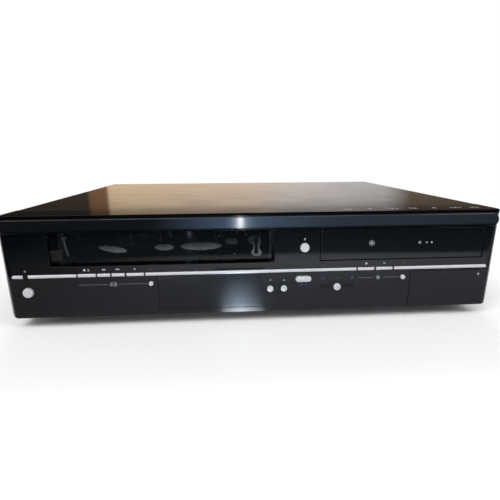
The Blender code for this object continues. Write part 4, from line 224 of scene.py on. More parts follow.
def silver_lacquered_abs():
    """ABS with a bright metallic lacquer: pale, softly shining, with the flake's faint sparkle.
    The flake is drawn many times its real size, so that it shows."""
    made = finish("silver_lacquered_abs", "#cfcfd3", 0.3, Metallic=0.25, IOR=1.5)
    vary_roughness(made, 0.8, 0.28, 0.32)
    return made


def enamelled_steel():
    """Sheet steel with a glossy baked black enamel: a clear reflection over a faint orange peel."""
    made = finish("enamelled_steel", "#0b0b0c", 0.1, IOR=1.52)
    vary_roughness(made, 45, 0.06, 0.12)
    add_grain(made, 5, 0.000006)
    return made


def zinc_plated_steel():
    """Rolled steel with bright zinc: grey, with soft spangle."""
    made = finish("zinc_plated_steel", "#a9adb1", 0.34, Metallic=1.0)
    vary_colour(made, 6, "#989ca0", "#b9bdc1")
    vary_roughness(made, 8, 0.26, 0.42)
    return made


def machined_aluminium():
    """Turned aluminium: bright, its roughness broken up by the cutting tool's marks, which are
    drawn coarser than real ones so that they show."""
    made = finish("machined_aluminium", "#c8cacd", 0.22, Metallic=1.0)
    vary_roughness(made, 1.5, 0.16, 0.30)
    return made


def nickel_plate():
    """Bright nickel over brass: a warm mirror, slightly hazed by handling."""
    made = finish("nickel_plate", "#c9c4ba", 0.16, Metallic=1.0)
    vary_roughness(made, 2, 0.12, 0.24)
    return made


def moulded_grey_acetal():
    """Grey acetal: waxy and even."""
    made = finish("moulded_grey_acetal", "#55565a", 0.5, IOR=1.48)
    add_grain(made, 0.6, 0.000008)
    return made


def moulded_cream_acetal():
    """Natural acetal: cream, waxy, with a faint flow pattern."""
    made = finish("moulded_cream_acetal", "#d8d2bd", 0.45, IOR=1.48)
    vary_colour(made, 12, "#cfc9b3", "#ded9c6")
    return made


def moulded_rubber():
    """Moulded black rubber: dull, dusty grey where it has been handled."""
    made = finish("moulded_rubber", "#161616", 0.78)
    vary_colour(made, 7, "#121212", "#232323")
    add_grain(made, 0.7, 0.00003)
    return made


def etched_board(name, mask, track):
    """Circuit board: a lacquered sheet with the copper tracks showing paler through the lacquer."""
    made = finish(name, mask, 0.38, IOR=1.5)
    tree, shader = shader_of(made)
    links = {"Vector": place_of(tree), "Scale": per_size(3)}
    cells = add(tree, "ShaderNodeTexVoronoi", links, distance="CHEBYCHEV", feature="F1")
    shown = mapped(tree, cells.outputs["Distance"], 0.28, 0.32)
    tree.links.new(blend(tree, shown, linear(track), linear(mask)), shader.inputs["Base Color"])
    return made


def dark_lamp_lens():
    """Unlit lamp lens: dark tinted, polished."""
    made = finish("dark_lamp_lens", "#09090c", 0.08, IOR=1.58)
    add_grain(made, 2, 0.000004)
    return made


def screen_ink(name, colour):
    """Screen-printed ink: flat, matt, slightly uneven where the mesh lifted. The unevenness is
    drawn coarser than the real mesh, so that it shows."""
    made = finish(name, colour, 0.5)
    vary_roughness(made, 1, 0.42, 0.6)
    return made


def moulded_colour(name, colour):
    """Bright ABS socket insulator: saturated, softly glossy."""
    made = finish(name, colour, 0.32, IOR=1.52)
    vary_roughness(made, 1.5, 0.26, 0.38)
    return made


def frosted_print():
    """Translucent grey print on the door: darker along its top and paler along its lower edge, in
    cloudy patches.
    """
    made = finish("frosted_print", "#7d8084", 0.35)
    tree, shader = shader_of(made)
    rise = mapped(tree, axis_of(tree, "Z"), BASE + OVAL_LOW, BASE + OVAL_HIGH)
    links = {0: cloud(tree, 4, 4.0), 1: 0.5}
    cloudy = add(tree, "ShaderNodeMath", links, operation="MULTIPLY").outputs[0]
    share = add(tree, "ShaderNodeMath", {0: rise, 1: cloudy}, operation="ADD").outputs[0]
    share = mapped(tree, share, 0.2, 1.2)
    tone = blend(tree, share, linear("#909295"), linear("#1e2022"))
    tree.links.new(tone, shader.inputs["Base Color"])
    return made


FINISH_OF_SLOT = {
    "black_gloss": polished_black_abs(),
    "black_satin": satin_black_abs(),
    "smoked_clear": smoked_acrylic(),
    "silver_gloss": silver_lacquered_abs(),
    "black_steel": enamelled_steel(),
    "plated_steel": zinc_plated_steel(),
    "machined_aluminium": machined_aluminium(),
    "grey_moulding": moulded_grey_acetal(),
    "cream_moulding": moulded_cream_acetal(),
    "rubber": moulded_rubber(),
    "board_green": etched_board("green_etched_board", "#0f3a22", "#1d5a34"),
    "board_brown": etched_board("brown_etched_board", "#6b4a22", "#8a642f"),
    "lamp_window": dark_lamp_lens(),
}
SILVER = FINISH_OF_SLOT["silver_gloss"]
GLOSS = FINISH_OF_SLOT["black_gloss"]
LAMP = FINISH_OF_SLOT["lamp_window"]
WINDOW = blasted_window_acrylic()
NICKEL = nickel_plate()
WHITE_INK = screen_ink("grey_white_screen_ink", "#b4b8be")
THIN_INK = screen_ink("thin_grey_screen_ink", "#7c8087")
RED_INK = screen_ink("red_screen_ink", "#6e2029")
BLUE_INK = screen_ink("blue_screen_ink", "#35428f")
FROSTED = frosted_print()


def new_group(name, sockets):
    """An empty geometry nodes group with these inputs, and a mesh out."""
    tree = bpy.data.node_groups.new(name, "GeometryNodeTree")
    for words, kind in sockets:
        tree.interface.new_socket(words, in_out="INPUT", socket_type="NodeSocket" + kind)
    tree.interface.new_socket("Mesh", in_out="OUTPUT", socket_type="NodeSocketGeometry")
    return tree, add(tree, "NodeGroupInput").outputs


def clean_tree():
    """Geometry nodes that join a node's loose triangles and set which edges stay sharp."""
    sockets = (("Mesh", "Geometry"), ("Sharp Angle", "Float"), ("Join Distance", "Float"))
    tree, given = new_group("join_and_smooth", sockets)
    links = {"Geometry": given["Mesh"], "Name": "custom_normal"}
    bare = add(tree, "GeometryNodeRemoveAttribute", links)
    links = {"Geometry": bare.outputs[0], "Distance": given["Join Distance"]}
    joined = add(tree, "GeometryNodeMergeByDistance", links)
    links = {"Geometry": joined.outputs[0], "Shade Smooth": True}
    smooth = add(tree, "GeometryNodeSetShadeSmooth", links)
    bend = add(tree, "GeometryNodeInputMeshEdgeAngle").outputs["Unsigned Angle"]
    links = {"A": bend, "B": given["Sharp Angle"]}
    sharp = add(tree, "FunctionNodeCompare", links, operation="GREATER_THAN")
    links = {"Geometry": smooth.outputs[0], "Selection": sharp.outputs[0], "Shade Smooth": False}
    edged = add(tree, "GeometryNodeSetShadeSmooth", links, domain="EDGE")
    add(tree, "NodeGroupOutput", {"Mesh": edged.outputs[0]})
    return tree


def repeat_tree():
    """Geometry nodes that put a piece on every point of the mesh."""
    sockets = (
        ("Places", "Geometry"), ("Piece", "Object"), ("Size", "Float"), ("Finish", "Material"),
    )
    tree, given = new_group("piece_on_points", sockets)
    links = {"Object": given["Piece"]}
    piece = add(tree, "GeometryNodeObjectInfo", links, transform_space="ORIGINAL")
    points = add(tree, "GeometryNodeMeshToPoints", {"Mesh": given["Places"]})
    links = {
        "Points": points.outputs[0], "Instance": piece.outputs["Geometry"], "Scale": given["Size"],
    }
    placed = add(tree, "GeometryNodeInstanceOnPoints", links)
    real = add(tree, "GeometryNodeRealizeInstances", {"Geometry": placed.outputs[0]})
    links = {"Geometry": real.outputs[0], "Material": given["Finish"]}
    done = add(tree, "GeometryNodeSetMaterial", links)
    add(tree, "NodeGroupOutput", {"Mesh": done.outputs[0]})
    return tree


CLEAN = clean_tree()
REPEAT = repeat_tree()


def give_inputs(modifier, values):
    """Sets a geometry nodes modifier's inputs by their words."""
    for item in modifier.node_group.interface.items_tree:
        if item.in_out == "INPUT" and item.name in values:
            modifier[item.identifier] = values[item.name]


# How wide an edge round the larger pieces get; all others get the fine one
EASED = {
    "front_panel": EDGE, "jack_door": 0.0004, "tray_front": 0.0005, "top_cover": EDGE,
    "rear_panel": EDGE, "cassette_door": 0.0006, "display_window": EDGE,
}


def ease_edges(obj, width):
    """A small round on every sharp edge, with flat faces still shaded flat."""
    flat = obj.modifiers.new("flat_faces", "DECIMATE")
    flat.decimate_type = "DISSOLVE"
    flat.angle_limit = math.radians(0.5)
    bevel = obj.modifiers.new("eased_edges", "BEVEL")
    bevel.width = width
    bevel.segments = 2
    bevel.limit_method = "ANGLE"
    bevel.angle_limit = SMOOTH_ANGLE
    bevel.use_clamp_overlap = True
    weighted = obj.modifiers.new("even_shading", "WEIGHTED_NORMAL")
    weighted.keep_sharp = True


def dress_nodes():
    """Every carried-over node gets its slot's finish, and joined, smoothed and eased edges."""
    for part in frame["record"]["subparts"]:
        obj = frame["nodes"][part["node"]]
        obj.data.materials[0] = FINISH_OF_SLOT[part["material_slot"]]
        modifier = obj.modifiers.new("joined", "NODES")
        modifier.node_group = CLEAN
        give_inputs(modifier, {"Sharp Angle": SMOOTH_ANGLE, "Join Distance": JOIN_DISTANCE})
        ease_edges(obj, EASED.get(part["node"], FINE_EDGE))
    frame["nodes"]["display_window"].data.materials[0] = WINDOW


def along(axis, u, v, w):
    """The point at w on this axis and at u, v on the other two, in X, Y, Z order."""
    if axis == "X":
        return Vector((w, u, v))
    if axis == "Y":
        return Vector((u, w, v))
    return Vector((u, v, w))


def arc(u, v, radius, start, end, steps=ARC_STEPS):
    """Points on an arc, angles in degrees from +U."""
    turns = (math.radians(start + (end - start) * step / steps) for step in range(steps + 1))
    return [(u + radius * math.cos(turn), v + radius * math.sin(turn)) for turn in turns]


def disc(u, v, radius):
    return arc(u, v, radius, 0, 360 * (1 - 1 / DISC_SIDES), DISC_SIDES - 1)


def arc_band(u, v, inner, outer, start, end):
    """A curved strip between two radii."""
    return arc(u, v, outer, start, end) + arc(u, v, inner, end, start)


def ring(u, v, inner, outer):
    return [arc_band(u, v, inner, outer, 0, 180), arc_band(u, v, inner, outer, 180, 360)]


def rectangle(u0, v0, u1, v1):
    return [(u0, v0), (u1, v0), (u1, v1), (u0, v1)]


def frame_lines(u0, v0, u1, v1, line):
    """The four sides of a rectangle, each a thin strip inside it."""
    return [
        rectangle(u0, v0, u1, v0 + line), rectangle(u0, v1 - line, u1, v1),
        rectangle(u0, v0, u0 + line, v1), rectangle(u1 - line, v0, u1, v1),
    ]


def ellipse(u, v, half_u, half_v, tilt):
    """An ellipse, turned by tilt degrees."""
    c, s = math.cos(math.radians(tilt)), math.sin(math.radians(tilt))
    points = []
    for step in range(ELLIPSE_SIDES):
        turn = math.tau * step / ELLIPSE_SIDES
        a, b = half_u * math.cos(turn), half_v * math.sin(turn)
        points.append((u + a * c - b * s, v + a * s + b * c))
    return points


def loft(loops):
    """A closed shape through loops of equal length, with flat ends."""
    shape = bmesh.new()
    rows = [[shape.verts.new(point) for point in loop] for loop in loops]
    for first, second in zip(rows, rows[1:]):
        for index in range(len(first)):
            after = (index + 1) % len(first)
            shape.faces.new((first[index], first[after], second[after], second[index]))
    shape.faces.new(rows[0])
    shape.faces.new(rows[-1])
    bmesh.ops.recalc_face_normals(shape, faces=shape.faces)
    return shape


def prism(outline, low, high, axis="Y"):
    """The outline, drawn straight along the axis from low to high."""
    return loft([[along(axis, u, v, w) for u, v in outline] for w in (low, high)])


def block(low, high):
    return prism(rectangle(low[0], low[2], high[0], high[2]), low[1], high[1])


def cushion(u0, v0, u1, v1, heights, round_left=True, round_right=True, side=0.0002):
    """A bar on the front whose section follows heights, pairs of inset and rise above the face.
    An end is a half circle where it is round, and otherwise square with its edge eased."""
    half, middle = (v1 - v0) / 2, (v0 + v1) / 2
    loops = []
    for inset, rise in heights:
        reach, step = half - inset, min(inset, side)
        if round_right:
            outline = arc(u1 - half, middle, reach, -90, 90)
        else:
            outline = [(u1 - step, middle - reach), (u1 - step, middle + reach)]
        if round_left:
            outline += arc(u0 + half, middle, reach, 90, 270)
        else:
            outline += [(u0 + step, middle + reach), (u0 + step, middle - reach)]
        loops.append([along("Y", u, v, FACE - rise) for u, v in outline])
    return loft(loops)


TURNS = {
    "X": Matrix.Rotation(math.pi / 2, 4, "Y"),
    "-X": Matrix.Rotation(-math.pi / 2, 4, "Y"),
    "Y": Matrix.Rotation(-math.pi / 2, 4, "X"),
    "Z": Matrix.Identity(4),
}


def turned(profile, place, axis, sides=ROUND_SIDES):
    """A profile of radius and height, spun round the axis at place."""
    shape = bmesh.new()
    line = [shape.verts.new((radius, 0, height)) for radius, height in profile]
    edges = [shape.edges.new(pair) for pair in zip(line, line[1:])]
    bmesh.ops.spin(
        shape, geom=line + edges, cent=(0, 0, 0), axis=(0, 0, 1),
        angle=math.tau, steps=sides, use_merge=False,
    )
    bmesh.ops.remove_doubles(shape, verts=shape.verts, dist=0.000001)
    bmesh.ops.recalc_face_normals(shape, faces=shape.faces)
    bmesh.ops.transform(shape, verts=shape.verts, matrix=Matrix.Translation(place) @ TURNS[axis])
    return shape


def tube(inner, outer, low, high):
    """A closed profile for a ring between two radii."""
    return [(inner, low), (outer, low), (outer, high), (inner, high), (inner, low)]


def mesh_of(name, shapes):
    """One mesh of these shapes."""
    whole = bmesh.new()
    for shape in shapes:
        step = bpy.data.meshes.new(name)
        shape.to_mesh(step)
        shape.free()
        whole.from_mesh(step)
        bpy.data.meshes.remove(step)
    mesh = bpy.data.meshes.new(name)
    whole.to_mesh(mesh)
    whole.free()
    return mesh


def put(name, mesh, material, body, stands_for=()):
    """One named piece with this mesh, which rides on a body and may stand for some nodes."""
    mesh.shade_smooth()
    mesh.set_sharp_from_angle(angle=SMOOTH_ANGLE)
    mesh.materials.clear()
    mesh.materials.append(material)
    obj = bpy.data.objects.new(name, mesh)
    bpy.context.scene.collection.objects.link(obj)
    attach(obj, body)
    if stands_for:
        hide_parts(*stands_for)


def make(name, shapes, material, body, stands_for=()):
    put(name, mesh_of(name, shapes), material, body, stands_for)


def repeated(name, shapes, places, material, body):
    """The shapes, repeated by geometry nodes at every place, as one piece."""
    one = bpy.data.objects.new(name + "_one", mesh_of(name + "_one", shapes))
    points = bpy.data.meshes.new(name + "_places")
    points.from_pydata([Vector(place) for place in places], [], [])
    holder = bpy.data.objects.new(name + "_holder", points)
    for obj in (one, holder):
        bpy.context.scene.collection.objects.link(obj)
    modifier = holder.modifiers.new("repeat", "NODES")
    modifier.node_group = REPEAT
    give_inputs(modifier, {"Piece": one, "Size": 1.0, "Finish": material})
    depsgraph = bpy.context.evaluated_depsgraph_get()
    mesh = bpy.data.meshes.new_from_object(holder.evaluated_get(depsgraph))
    for obj in (one, holder):
        bpy.data.objects.remove(obj)
    put(name, mesh, material, body)


# Printed marks on the front: their size, their line and the size of the cassette's outline
MARK = 0.0017
LINE = 0.00022
ICON_WIDTH = 0.0056
ICON_HEIGHT = 0.0032

# Where the marks stand: above the bar, above a round key, on the jack door, on the tray, round the
# dubbing key, at the select slot and along the top strip
MARK_RISE = 0.0429
KEY_MARK_RISE = 0.0078
JACK_MARK_INSET, JACK_MARK_RISE = 0.0145, 0.0302
TRAY_DISC = (0.1005, 0.0616)
TRAY_ROW = (0.1500, 0.0612)
DUBBING_MARK_DROP, DUBBING_MARK_REACH = 0.0056, 0.0030
SOURCE_MARK_RISE = 0.0083
SOURCE_LEFT, SOURCE_RIGHT, SOURCE_SIZE = 0.0125, 0.0135, 0.7
STRIP_DEPTH = 0.0165
STRIP_PLACES = (0.082, 0.103, 0.124, 0.143, 0.163, 0.183, 0.201)
STRIP_FRAME = (0.005, 0.0015)


def arrow(u, v, size, way):
    """A triangle that points left, right, up or down, centred at u, v."""
    half = size / 2
    tips = {
        "right": [(u - half, v - half), (u + half, v), (u - half, v + half)],
        "left": [(u + half, v - half), (u + half, v + half), (u - half, v)],
        "up": [(u - half, v - half), (u + half, v - half), (u, v + half)],
        "down": [(u, v - half), (u + half, v + half), (u - half, v + half)],
    }
    return tips[way]


def square(u, v, size):
    return rectangle(u - size / 2, v - size / 2, u + size / 2, v + size / 2)


def eject_sign(u, v, size):
    bar = rectangle(u - size / 2, v - size / 2 - LINE, u + size / 2, v - size / 2 + LINE)
    return [arrow(u, v + 2 * LINE, size * 0.8, "up"), bar]


def double_arrow(u, v, size, way):
    step = size * 0.45
    return [arrow(u - step, v, size, way), arrow(u + step, v, size, way)]


def standby_sign(u, v, size):
    """An open ring with a bar in its gap."""
    open_ring = arc_band(u, v, size / 2 - LINE, size / 2, 130, 410)
    return [open_ring, rectangle(u - LINE / 2, v, u + LINE / 2, v + size / 2 + LINE)]


def cassette_icon(u, v, size=1.0):
    """A cassette: an outline and its two hubs."""
    w, h = size * ICON_WIDTH / 2, size * ICON_HEIGHT / 2
    hubs = [disc(u - w / 2, v, h / 3), disc(u + w / 2, v, h / 3)]
    return frame_lines(u - w, v - h, u + w, v + h, LINE) + hubs


def disc_icon(u, v, size=1.0):
    """A disc with its centre hole."""
    h = size * ICON_HEIGHT / 2
    return ring(u, v, h / 4, h / 2) + ring(u, v, h - LINE, h)


def on_face(outlines):
    """Printed outlines on the front, each a thin layer."""
    return [prism(outline, FACE - PRINT_PROUD, FACE + PRINT_SINK) for outline in outlines]


def middle_of(node):
    low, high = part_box(node)
    return (low.x + high.x) / 2, (low.z + high.z) / 2


def bracket(start, end, z, icon):
    """A thin line with an icon in its middle: the line and the icon."""
    middle, space = (start + end) / 2, ICON_WIDTH * 0.8
    lines = [
        rectangle(start, z - LINE / 2, middle - space, z + LINE / 2),
        rectangle(middle + space, z - LINE / 2, end, z + LINE / 2),
    ]
    return lines, icon(middle, z)


def key_marks(z):
    """The white marks above the keys."""
    stop_x = middle_of("stop_eject_button")[0]
    marks = [square(stop_x - MARK, z, MARK)] + eject_sign(stop_x + MARK, z, MARK)
    marks += double_arrow(middle_of("rewind_button")[0], z, MARK, "left")
    marks += double_arrow(middle_of("fast_forward_button")[0], z, MARK, "right")
    marks.append(arrow(middle_of("play_button")[0], z, MARK, "right"))
    marks.append(square(middle_of("disc_stop_button")[0], z, MARK))
    marks.append(arrow(middle_of("disc_play_button")[0], z, MARK, "right"))
    marks += standby_sign(middle_of("status_lamp")[0], z, MARK)
    open_x, open_z = middle_of("open_close_button")
    marks += eject_sign(open_x, open_z + KEY_MARK_RISE, MARK)
    down_x, pair_z = middle_of("channel_down_button")
    up_x = middle_of("channel_up_button")[0]
    pair_z += KEY_MARK_RISE
    marks += [arrow(down_x, pair_z, MARK * 0.8, "down"), arrow(up_x, pair_z, MARK * 0.8, "up")]
    jack_x, jack_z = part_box("jack_door")[1].x - JACK_MARK_INSET, BASE + JACK_MARK_RISE
    for radius in (MARK / 4, MARK / 2):
        marks += ring(jack_x, jack_z, radius, radius + LINE)
    return marks


def front_prints():
    """The white, grey, red and blue marks round the buttons, and those on the tray."""
    z = BASE + MARK_RISE
    tape_x, record_z = middle_of("tape_record_button")
    disc_x = middle_of("disc_record_button")[0]
    red = [disc(tape_x, z, MARK / 2), disc(disc_x, z, MARK / 2)]
    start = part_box("stop_eject_button")[0].x
    tape_lines, tape_icon = bracket(start, tape_x - ICON_HEIGHT, record_z, cassette_icon)
    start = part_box("disc_stop_button")[0].x
    disc_lines, disc_sign = bracket(start, disc_x - ICON_HEIGHT, record_z, disc_icon)
    white = key_marks(z) + tape_icon + disc_sign
    make("white_prints", on_face(white), WHITE_INK, "cabinet")
    make("grey_lines", on_face(tape_lines + disc_lines), THIN_INK, "cabinet")
    make("red_prints", on_face(red), RED_INK, "cabinet")
    make("blue_prints", on_face(blue_marks()), BLUE_INK, "cabinet")
    u, v = TRAY_ROW[0], BASE + TRAY_ROW[1]
    tray = disc_icon(TRAY_DISC[0], BASE + TRAY_DISC[1], 1.5) + disc_icon(u - 0.006, v, 0.8)
    tray += [arrow(u, v, MARK, "left"), disc(u + 0.005, v, MARK / 2)]
    make("tray_prints", on_face(tray), WHITE_INK, "disc_tray")


def blue_marks():
    """Two crossing arrows below the dubbing button, and the sources above the select slot."""
    x, z = middle_of("dubbing_button")
    z -= DUBBING_MARK_DROP
    reach, tip = DUBBING_MARK_REACH, MARK / 1.6
    marks = []
    for side, way in ((1, "right"), (-1, "left")):
        level = z + side * MARK / 3
        marks.append(rectangle(x - reach, level - LINE / 2, x + reach, level + LINE / 2))
        marks.append(arrow(x + side * reach, level, tip, way))
    x, z = middle_of("select_button")
    z += SOURCE_MARK_RISE
    marks += cassette_icon(x - SOURCE_LEFT, z, SOURCE_SIZE)
    marks += disc_icon(x + SOURCE_RIGHT, z, SOURCE_SIZE)
    return marks + [arrow(x - MARK, z, MARK * 0.8, "left"), arrow(x + MARK, z, MARK * 0.8, "right")]


def strip_prints():
    """A row of small pictures along the top strip, right of the middle, read from the front."""
    y = FACE + STRIP_DEPTH
    w, h = STRIP_FRAME
    outlines = []
    for index, x in enumerate(STRIP_PLACES):
        if index % 3 == 0:
            outlines += cassette_icon(x, y, 1.3)
        elif index % 3 == 1:
            outlines += disc_icon(x, y, 1.2)
        else:
            outlines += frame_lines(x - w, y - h, x + w, y + h, LINE)
            outlines += [arrow(x, y, MARK, "right")]
    shapes = [prism(outline, TOP - PRINT_SINK, TOP + PRINT_PROUD, "Z") for outline in outlines]
    make("strip_prints", shapes, WHITE_INK, "cabinet")


# Silver keys and bars: how their section rises from the edge to the middle
BAR_SECTION = (
    (0, -0.0007), (0, 0.00055), (0.00008, 0.00080), (0.00025, 0.00096), (0.00055, 0.00104),
    (0.00130, 0.00106),
)
BAR_INSET = 0.00035
PILL_SECTION = (
    (0, -0.0037), (0, 0.0012), (0.0001, 0.0015), (0.0003, 0.0017), (0.0007, 0.00179),
    (0.0024, 0.0018),
)

# Behind a key's face: the flange's depth and reach, the key's back and its stem
FLANGE_START, FLANGE_END = 0.0033, 0.0041
FLANGE_REACH = 0.0011
KEY_BACK = 0.0037
STEM_RADIUS = 0.001

# A round key's rim, dish and turned rings, how far it stands out, how much of its hole it fills,
# and the black ring round it
BUTTON_RIM = 0.0005
BUTTON_DISH = 0.00025
RING_PITCH = 0.00055
RING_DEPTH = 0.00004
KEY_PROUD = 0.0020
KEY_SHARE = 0.88
POWER_SHARE = 0.80
WELL_GAP = 0.00022
WELL_SINK, WELL_DEPTH = 0.00012, 0.0014


def trim_bars():
    """The three silver bars with eased edges, the outer two round at their outer ends."""
    lamp_low, lamp_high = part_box("status_lamp")
    for name, round_left, round_right in (
        ("left_trim_bar", True, False), ("long_trim_bar", False, False),
        ("right_trim_bar", False, True),
    ):
        low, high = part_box(name)
        bottom, top = low.z + BAR_INSET, high.z - BAR_INSET
        if name == "left_trim_bar":
            shapes = [
                cushion(low.x, bottom, lamp_low.x - EDGE, top, BAR_SECTION, True, False),
                cushion(lamp_high.x + EDGE, bottom, high.x, top, BAR_SECTION, False, False),
            ]
        else:
            shapes = [cushion(low.x, bottom, high.x, top, BAR_SECTION, round_left, round_right)]
        make(f"{name}_eased", shapes, SILVER, "cabinet", [name])


def stem(x, z, end):
    profile = [(0, FLANGE_START), (STEM_RADIUS, FLANGE_START), (STEM_RADIUS, end), (0, end)]
    return turned(profile, (x, FACE, z), "Y", STEM_SIDES)


def bar_keys():
    """The six keys in line with the bars, each with the flange and stem that its node has."""
    section = ((0, -KEY_BACK),) + BAR_SECTION[1:]
    for name in (
        "stop_eject_button", "rewind_button", "fast_forward_button", "play_button",
        "disc_stop_button", "disc_play_button",
    ):
        low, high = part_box(name)
        x, z = middle_of(name)
        key = cushion(
            low.x, BAR_LOW + BAR_INSET, high.x, BAR_HIGH - BAR_INSET, section, False, False,
        )
        flange = block((low.x, FACE + FLANGE_START, low.z), (high.x, FACE + FLANGE_END, high.z))
        shapes = [key, flange, stem(x, z, high.y - FACE)]
        make(f"{name}_eased", shapes, SILVER, name, [name])


def button_profile(radius, proud):
    """From the middle of the dished face, over its turned rings and rim, to the back of the key."""
    dish = radius - 2 * BUTTON_RIM
    profile = [(0, BUTTON_DISH - proud)]
    for index in range(1, int(dish / RING_PITCH)):
        middle = index * RING_PITCH
        height = BUTTON_DISH * (1 - (middle / dish) ** 2) - proud
        edge = RING_PITCH * 0.25
        profile += [(middle - edge, height), (middle, height + RING_DEPTH), (middle + edge, height)]
    steps = 6
    for step in range(steps + 1):
        turn = math.pi / 2 * step / steps
        across = radius - BUTTON_RIM + BUTTON_RIM * math.sin(turn)
        profile.append((across, BUTTON_RIM * (1 - math.cos(turn)) - proud))
    return profile + [(radius, KEY_BACK), (0, KEY_BACK)]


def round_keys():
    """Turned faces for the seven round keys, each with its node's flange and stem, and a black
    ring in the panel round it."""
    wells = []
    for name in (
        "power_button", "open_close_button", "tape_record_button", "disc_record_button",
        "channel_down_button", "channel_up_button", "select_button",
    ):
        low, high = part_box(name)
        x, z = middle_of(name)
        reach = (high.x - low.x) / 2
        hole = reach - FLANGE_REACH
        radius = hole * (POWER_SHARE if name == "power_button" else KEY_SHARE)
        key = turned(button_profile(radius, KEY_PROUD), (x, FACE, z), "Y")
        profile = tube(radius + WELL_GAP, hole + 2 * WELL_GAP, WELL_SINK, WELL_DEPTH)
        wells.append(turned(profile, (x, FACE, z), "Y"))
        profile = [(0, FLANGE_START), (reach, FLANGE_START), (reach, FLANGE_END), (0, FLANGE_END)]
        flange = turned(profile, (x, FACE, z), "Y", 48)
        shapes = [key, flange, stem(x, z, high.y - FACE)]
        make(f"{name}_turned", shapes, SILVER, name, [name])
    make("key_wells", wells, GLOSS, "cabinet")


def dubbing_key():
    """The pill-shaped dubbing key, with its node's flange and stem."""
    name = "dubbing_button"
    low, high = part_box(name)
    x, z = middle_of(name)
    reach = FLANGE_REACH
    key = cushion(low.x + reach, low.z + reach, high.x - reach, high.z - reach, PILL_SECTION)
    flange = cushion(low.x, low.z, high.x, high.z, ((0, -FLANGE_END), (0, -FLANGE_START)))
    shapes = [key, flange, stem(x, z, high.y - FACE)]
    make(f"{name}_eased", shapes, SILVER, name, [name])


# The proud band: its heights, its ends' distance from the panel's, how far it reaches past its
# node, its edge, its crown and the slope of its face
BAND_LOW, BAND_HIGH = 0.0757, 0.0861
BAND_INSET = 0.0042
BAND_REACH = 0.0003
BAND_EDGE = ((0, -0.0003), (0, 0.0006), (0.0001, 0.00085), (0.0003, 0.00103))
BAND_CROWN = 0.0001
BAND_LEAN = 0.084
BAND_STEPS = 14


def front_band():
    """The band along the top of the front: crowned, round at its edge, its foot leaning forward."""
    half = (BAND_HIGH - BAND_LOW) / 2 + BAND_REACH
    start, rise = BAND_EDGE[-1]
    section = list(BAND_EDGE)
    for step in range(1, BAND_STEPS):
        share = step / BAND_STEPS
        crown = BAND_CROWN * (1 - (1 - share) ** 2)
        section.append((start + (half - start) * share, rise + crown))
    reach = HALF_WIDTH - BAND_INSET
    top = BASE + BAND_HIGH + BAND_REACH
    band = cushion(-reach, BASE + BAND_LOW - BAND_REACH, reach, top, section)
    for vert in band.verts:
        if vert.co.y < FACE - BAND_EDGE[1][1] / 2:
            vert.co.y -= BAND_LEAN * (top - vert.co.z)
    make("front_band", [band], GLOSS, "cabinet")


# The guide seen through the door's right end, in millimetres up from the front panel's lower edge
GUIDE_SHAPE = (
    (-1.0, 69.5), (1.8, 68.8), (2.7, 66.5), (2.6, 64.0), (1.5, 61.5), (0.9, 59.0), (1.6, 57.0),
    (3.0, 55.5), (3.2, 53.8), (2.0, 52.0), (-0.8, 50.8), (-3.4, 51.3), (-5.6, 53.3), (-6.2, 55.0),
    (-5.0, 56.6), (-4.2, 58.5), (-4.1, 60.5), (-5.0, 62.3), (-8.2, 64.2), (-9.4, 66.5),
    (-8.0, 68.4), (-4.0, 69.2),
)
# The guide's slot: drawn as a dark patch, painted shade where the slot opens onto the dark inside
GUIDE_SLOT = (-3.3, 53.2, -0.1, 69.0)
# Bright dots at the door's corners: painted highlights, drawn as white ink dots on the door's back
CORNER_HIGHLIGHT_DOTS = (
    (10.4, 71.6), (10.2, 51.9), (-21.0, 53.6), (-10.6, 71.2), (-33.5, 70.0), (-18.5, 73.0),
)
DOT_RADIUS = 0.00045
ARM_HEAD = ((-166.6, 71.2), (-161.2, 71.4), (-162.4, 69.2), (-165.2, 69.0))
ARM_POST = ((-164.9, 69.2), (-163.4, 69.2), (-161.6, 54.3), (-163.1, 54.3))
BACK_RIB = 0.0004


def panel_points(points):
    return [(x / 1000, BASE + z / 1000) for x, z in points]


def door_marks():
    """What shows on the back of the smoked door: pale ovals, the guide with its slot painted dark
    as shade, white dots painted as highlights, and an arm.
    """
    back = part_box("cassette_door")[1].y
    low, high = back - PRINT_SINK, back + PRINT_PROUD
    ovals = [prism(ellipse(x, BASE + z, a, b, tilt), low, high) for x, z, a, b, tilt in OVALS]
    make("door_ovals", ovals, FROSTED, "cassette_door")
    guide = prism(panel_points(GUIDE_SHAPE), low, back + BACK_RIB)
    make("door_guide", [guide], FROSTED, "cassette_door")
    # The slot is painted shade: a dark sheet of lens material set in front of the guide
    slot = panel_points(rectangle(*GUIDE_SLOT))
    shapes = [prism(slot, back - 3 * PRINT_SINK, back - PRINT_SINK / 2)]
    make("door_guide_slot", shapes, LAMP, "cassette_door")
    # The corner dots are painted highlights in white ink, not marks that the door has
    places = [(x, back, z) for x, z in panel_points(CORNER_HIGHLIGHT_DOTS)]
    profile = [
        (0, -PRINT_SINK), (DOT_RADIUS, -PRINT_SINK), (DOT_RADIUS, PRINT_PROUD), (0, PRINT_PROUD),
    ]
    dot = turned(profile, (0, 0, 0), "Y", 16)
    repeated("door_dots", [dot], places, WHITE_INK, "cassette_door")
    arm = [prism(panel_points(shape), low, back + BACK_RIB) for shape in (ARM_HEAD, ARM_POST)]
    make("door_arm", arm, FINISH_OF_SLOT["grey_moulding"], "cassette_door")


# The cream guide on the deck: its reach either side of the wall, its foot, and how far its two
# steps stand up and forward
BRACKET_OUT, BRACKET_IN, BRACKET_FOOT = 0.0075, 0.0019, 0.0459
BRACKET_STEP, BRACKET_TOP = 0.0035, 0.0090
BRACKET_LOWER, BRACKET_UPPER, BRACKET_BACK = 0.0085, 0.0070, 0.004

# The select slot's lamps
LAMP_FLOOR, LAMP_SINK = 0.001, 0.0004
LAMP_SPACING, LAMP_REACH, LAMP_HALF = 0.0105, 0.0028, 0.0009


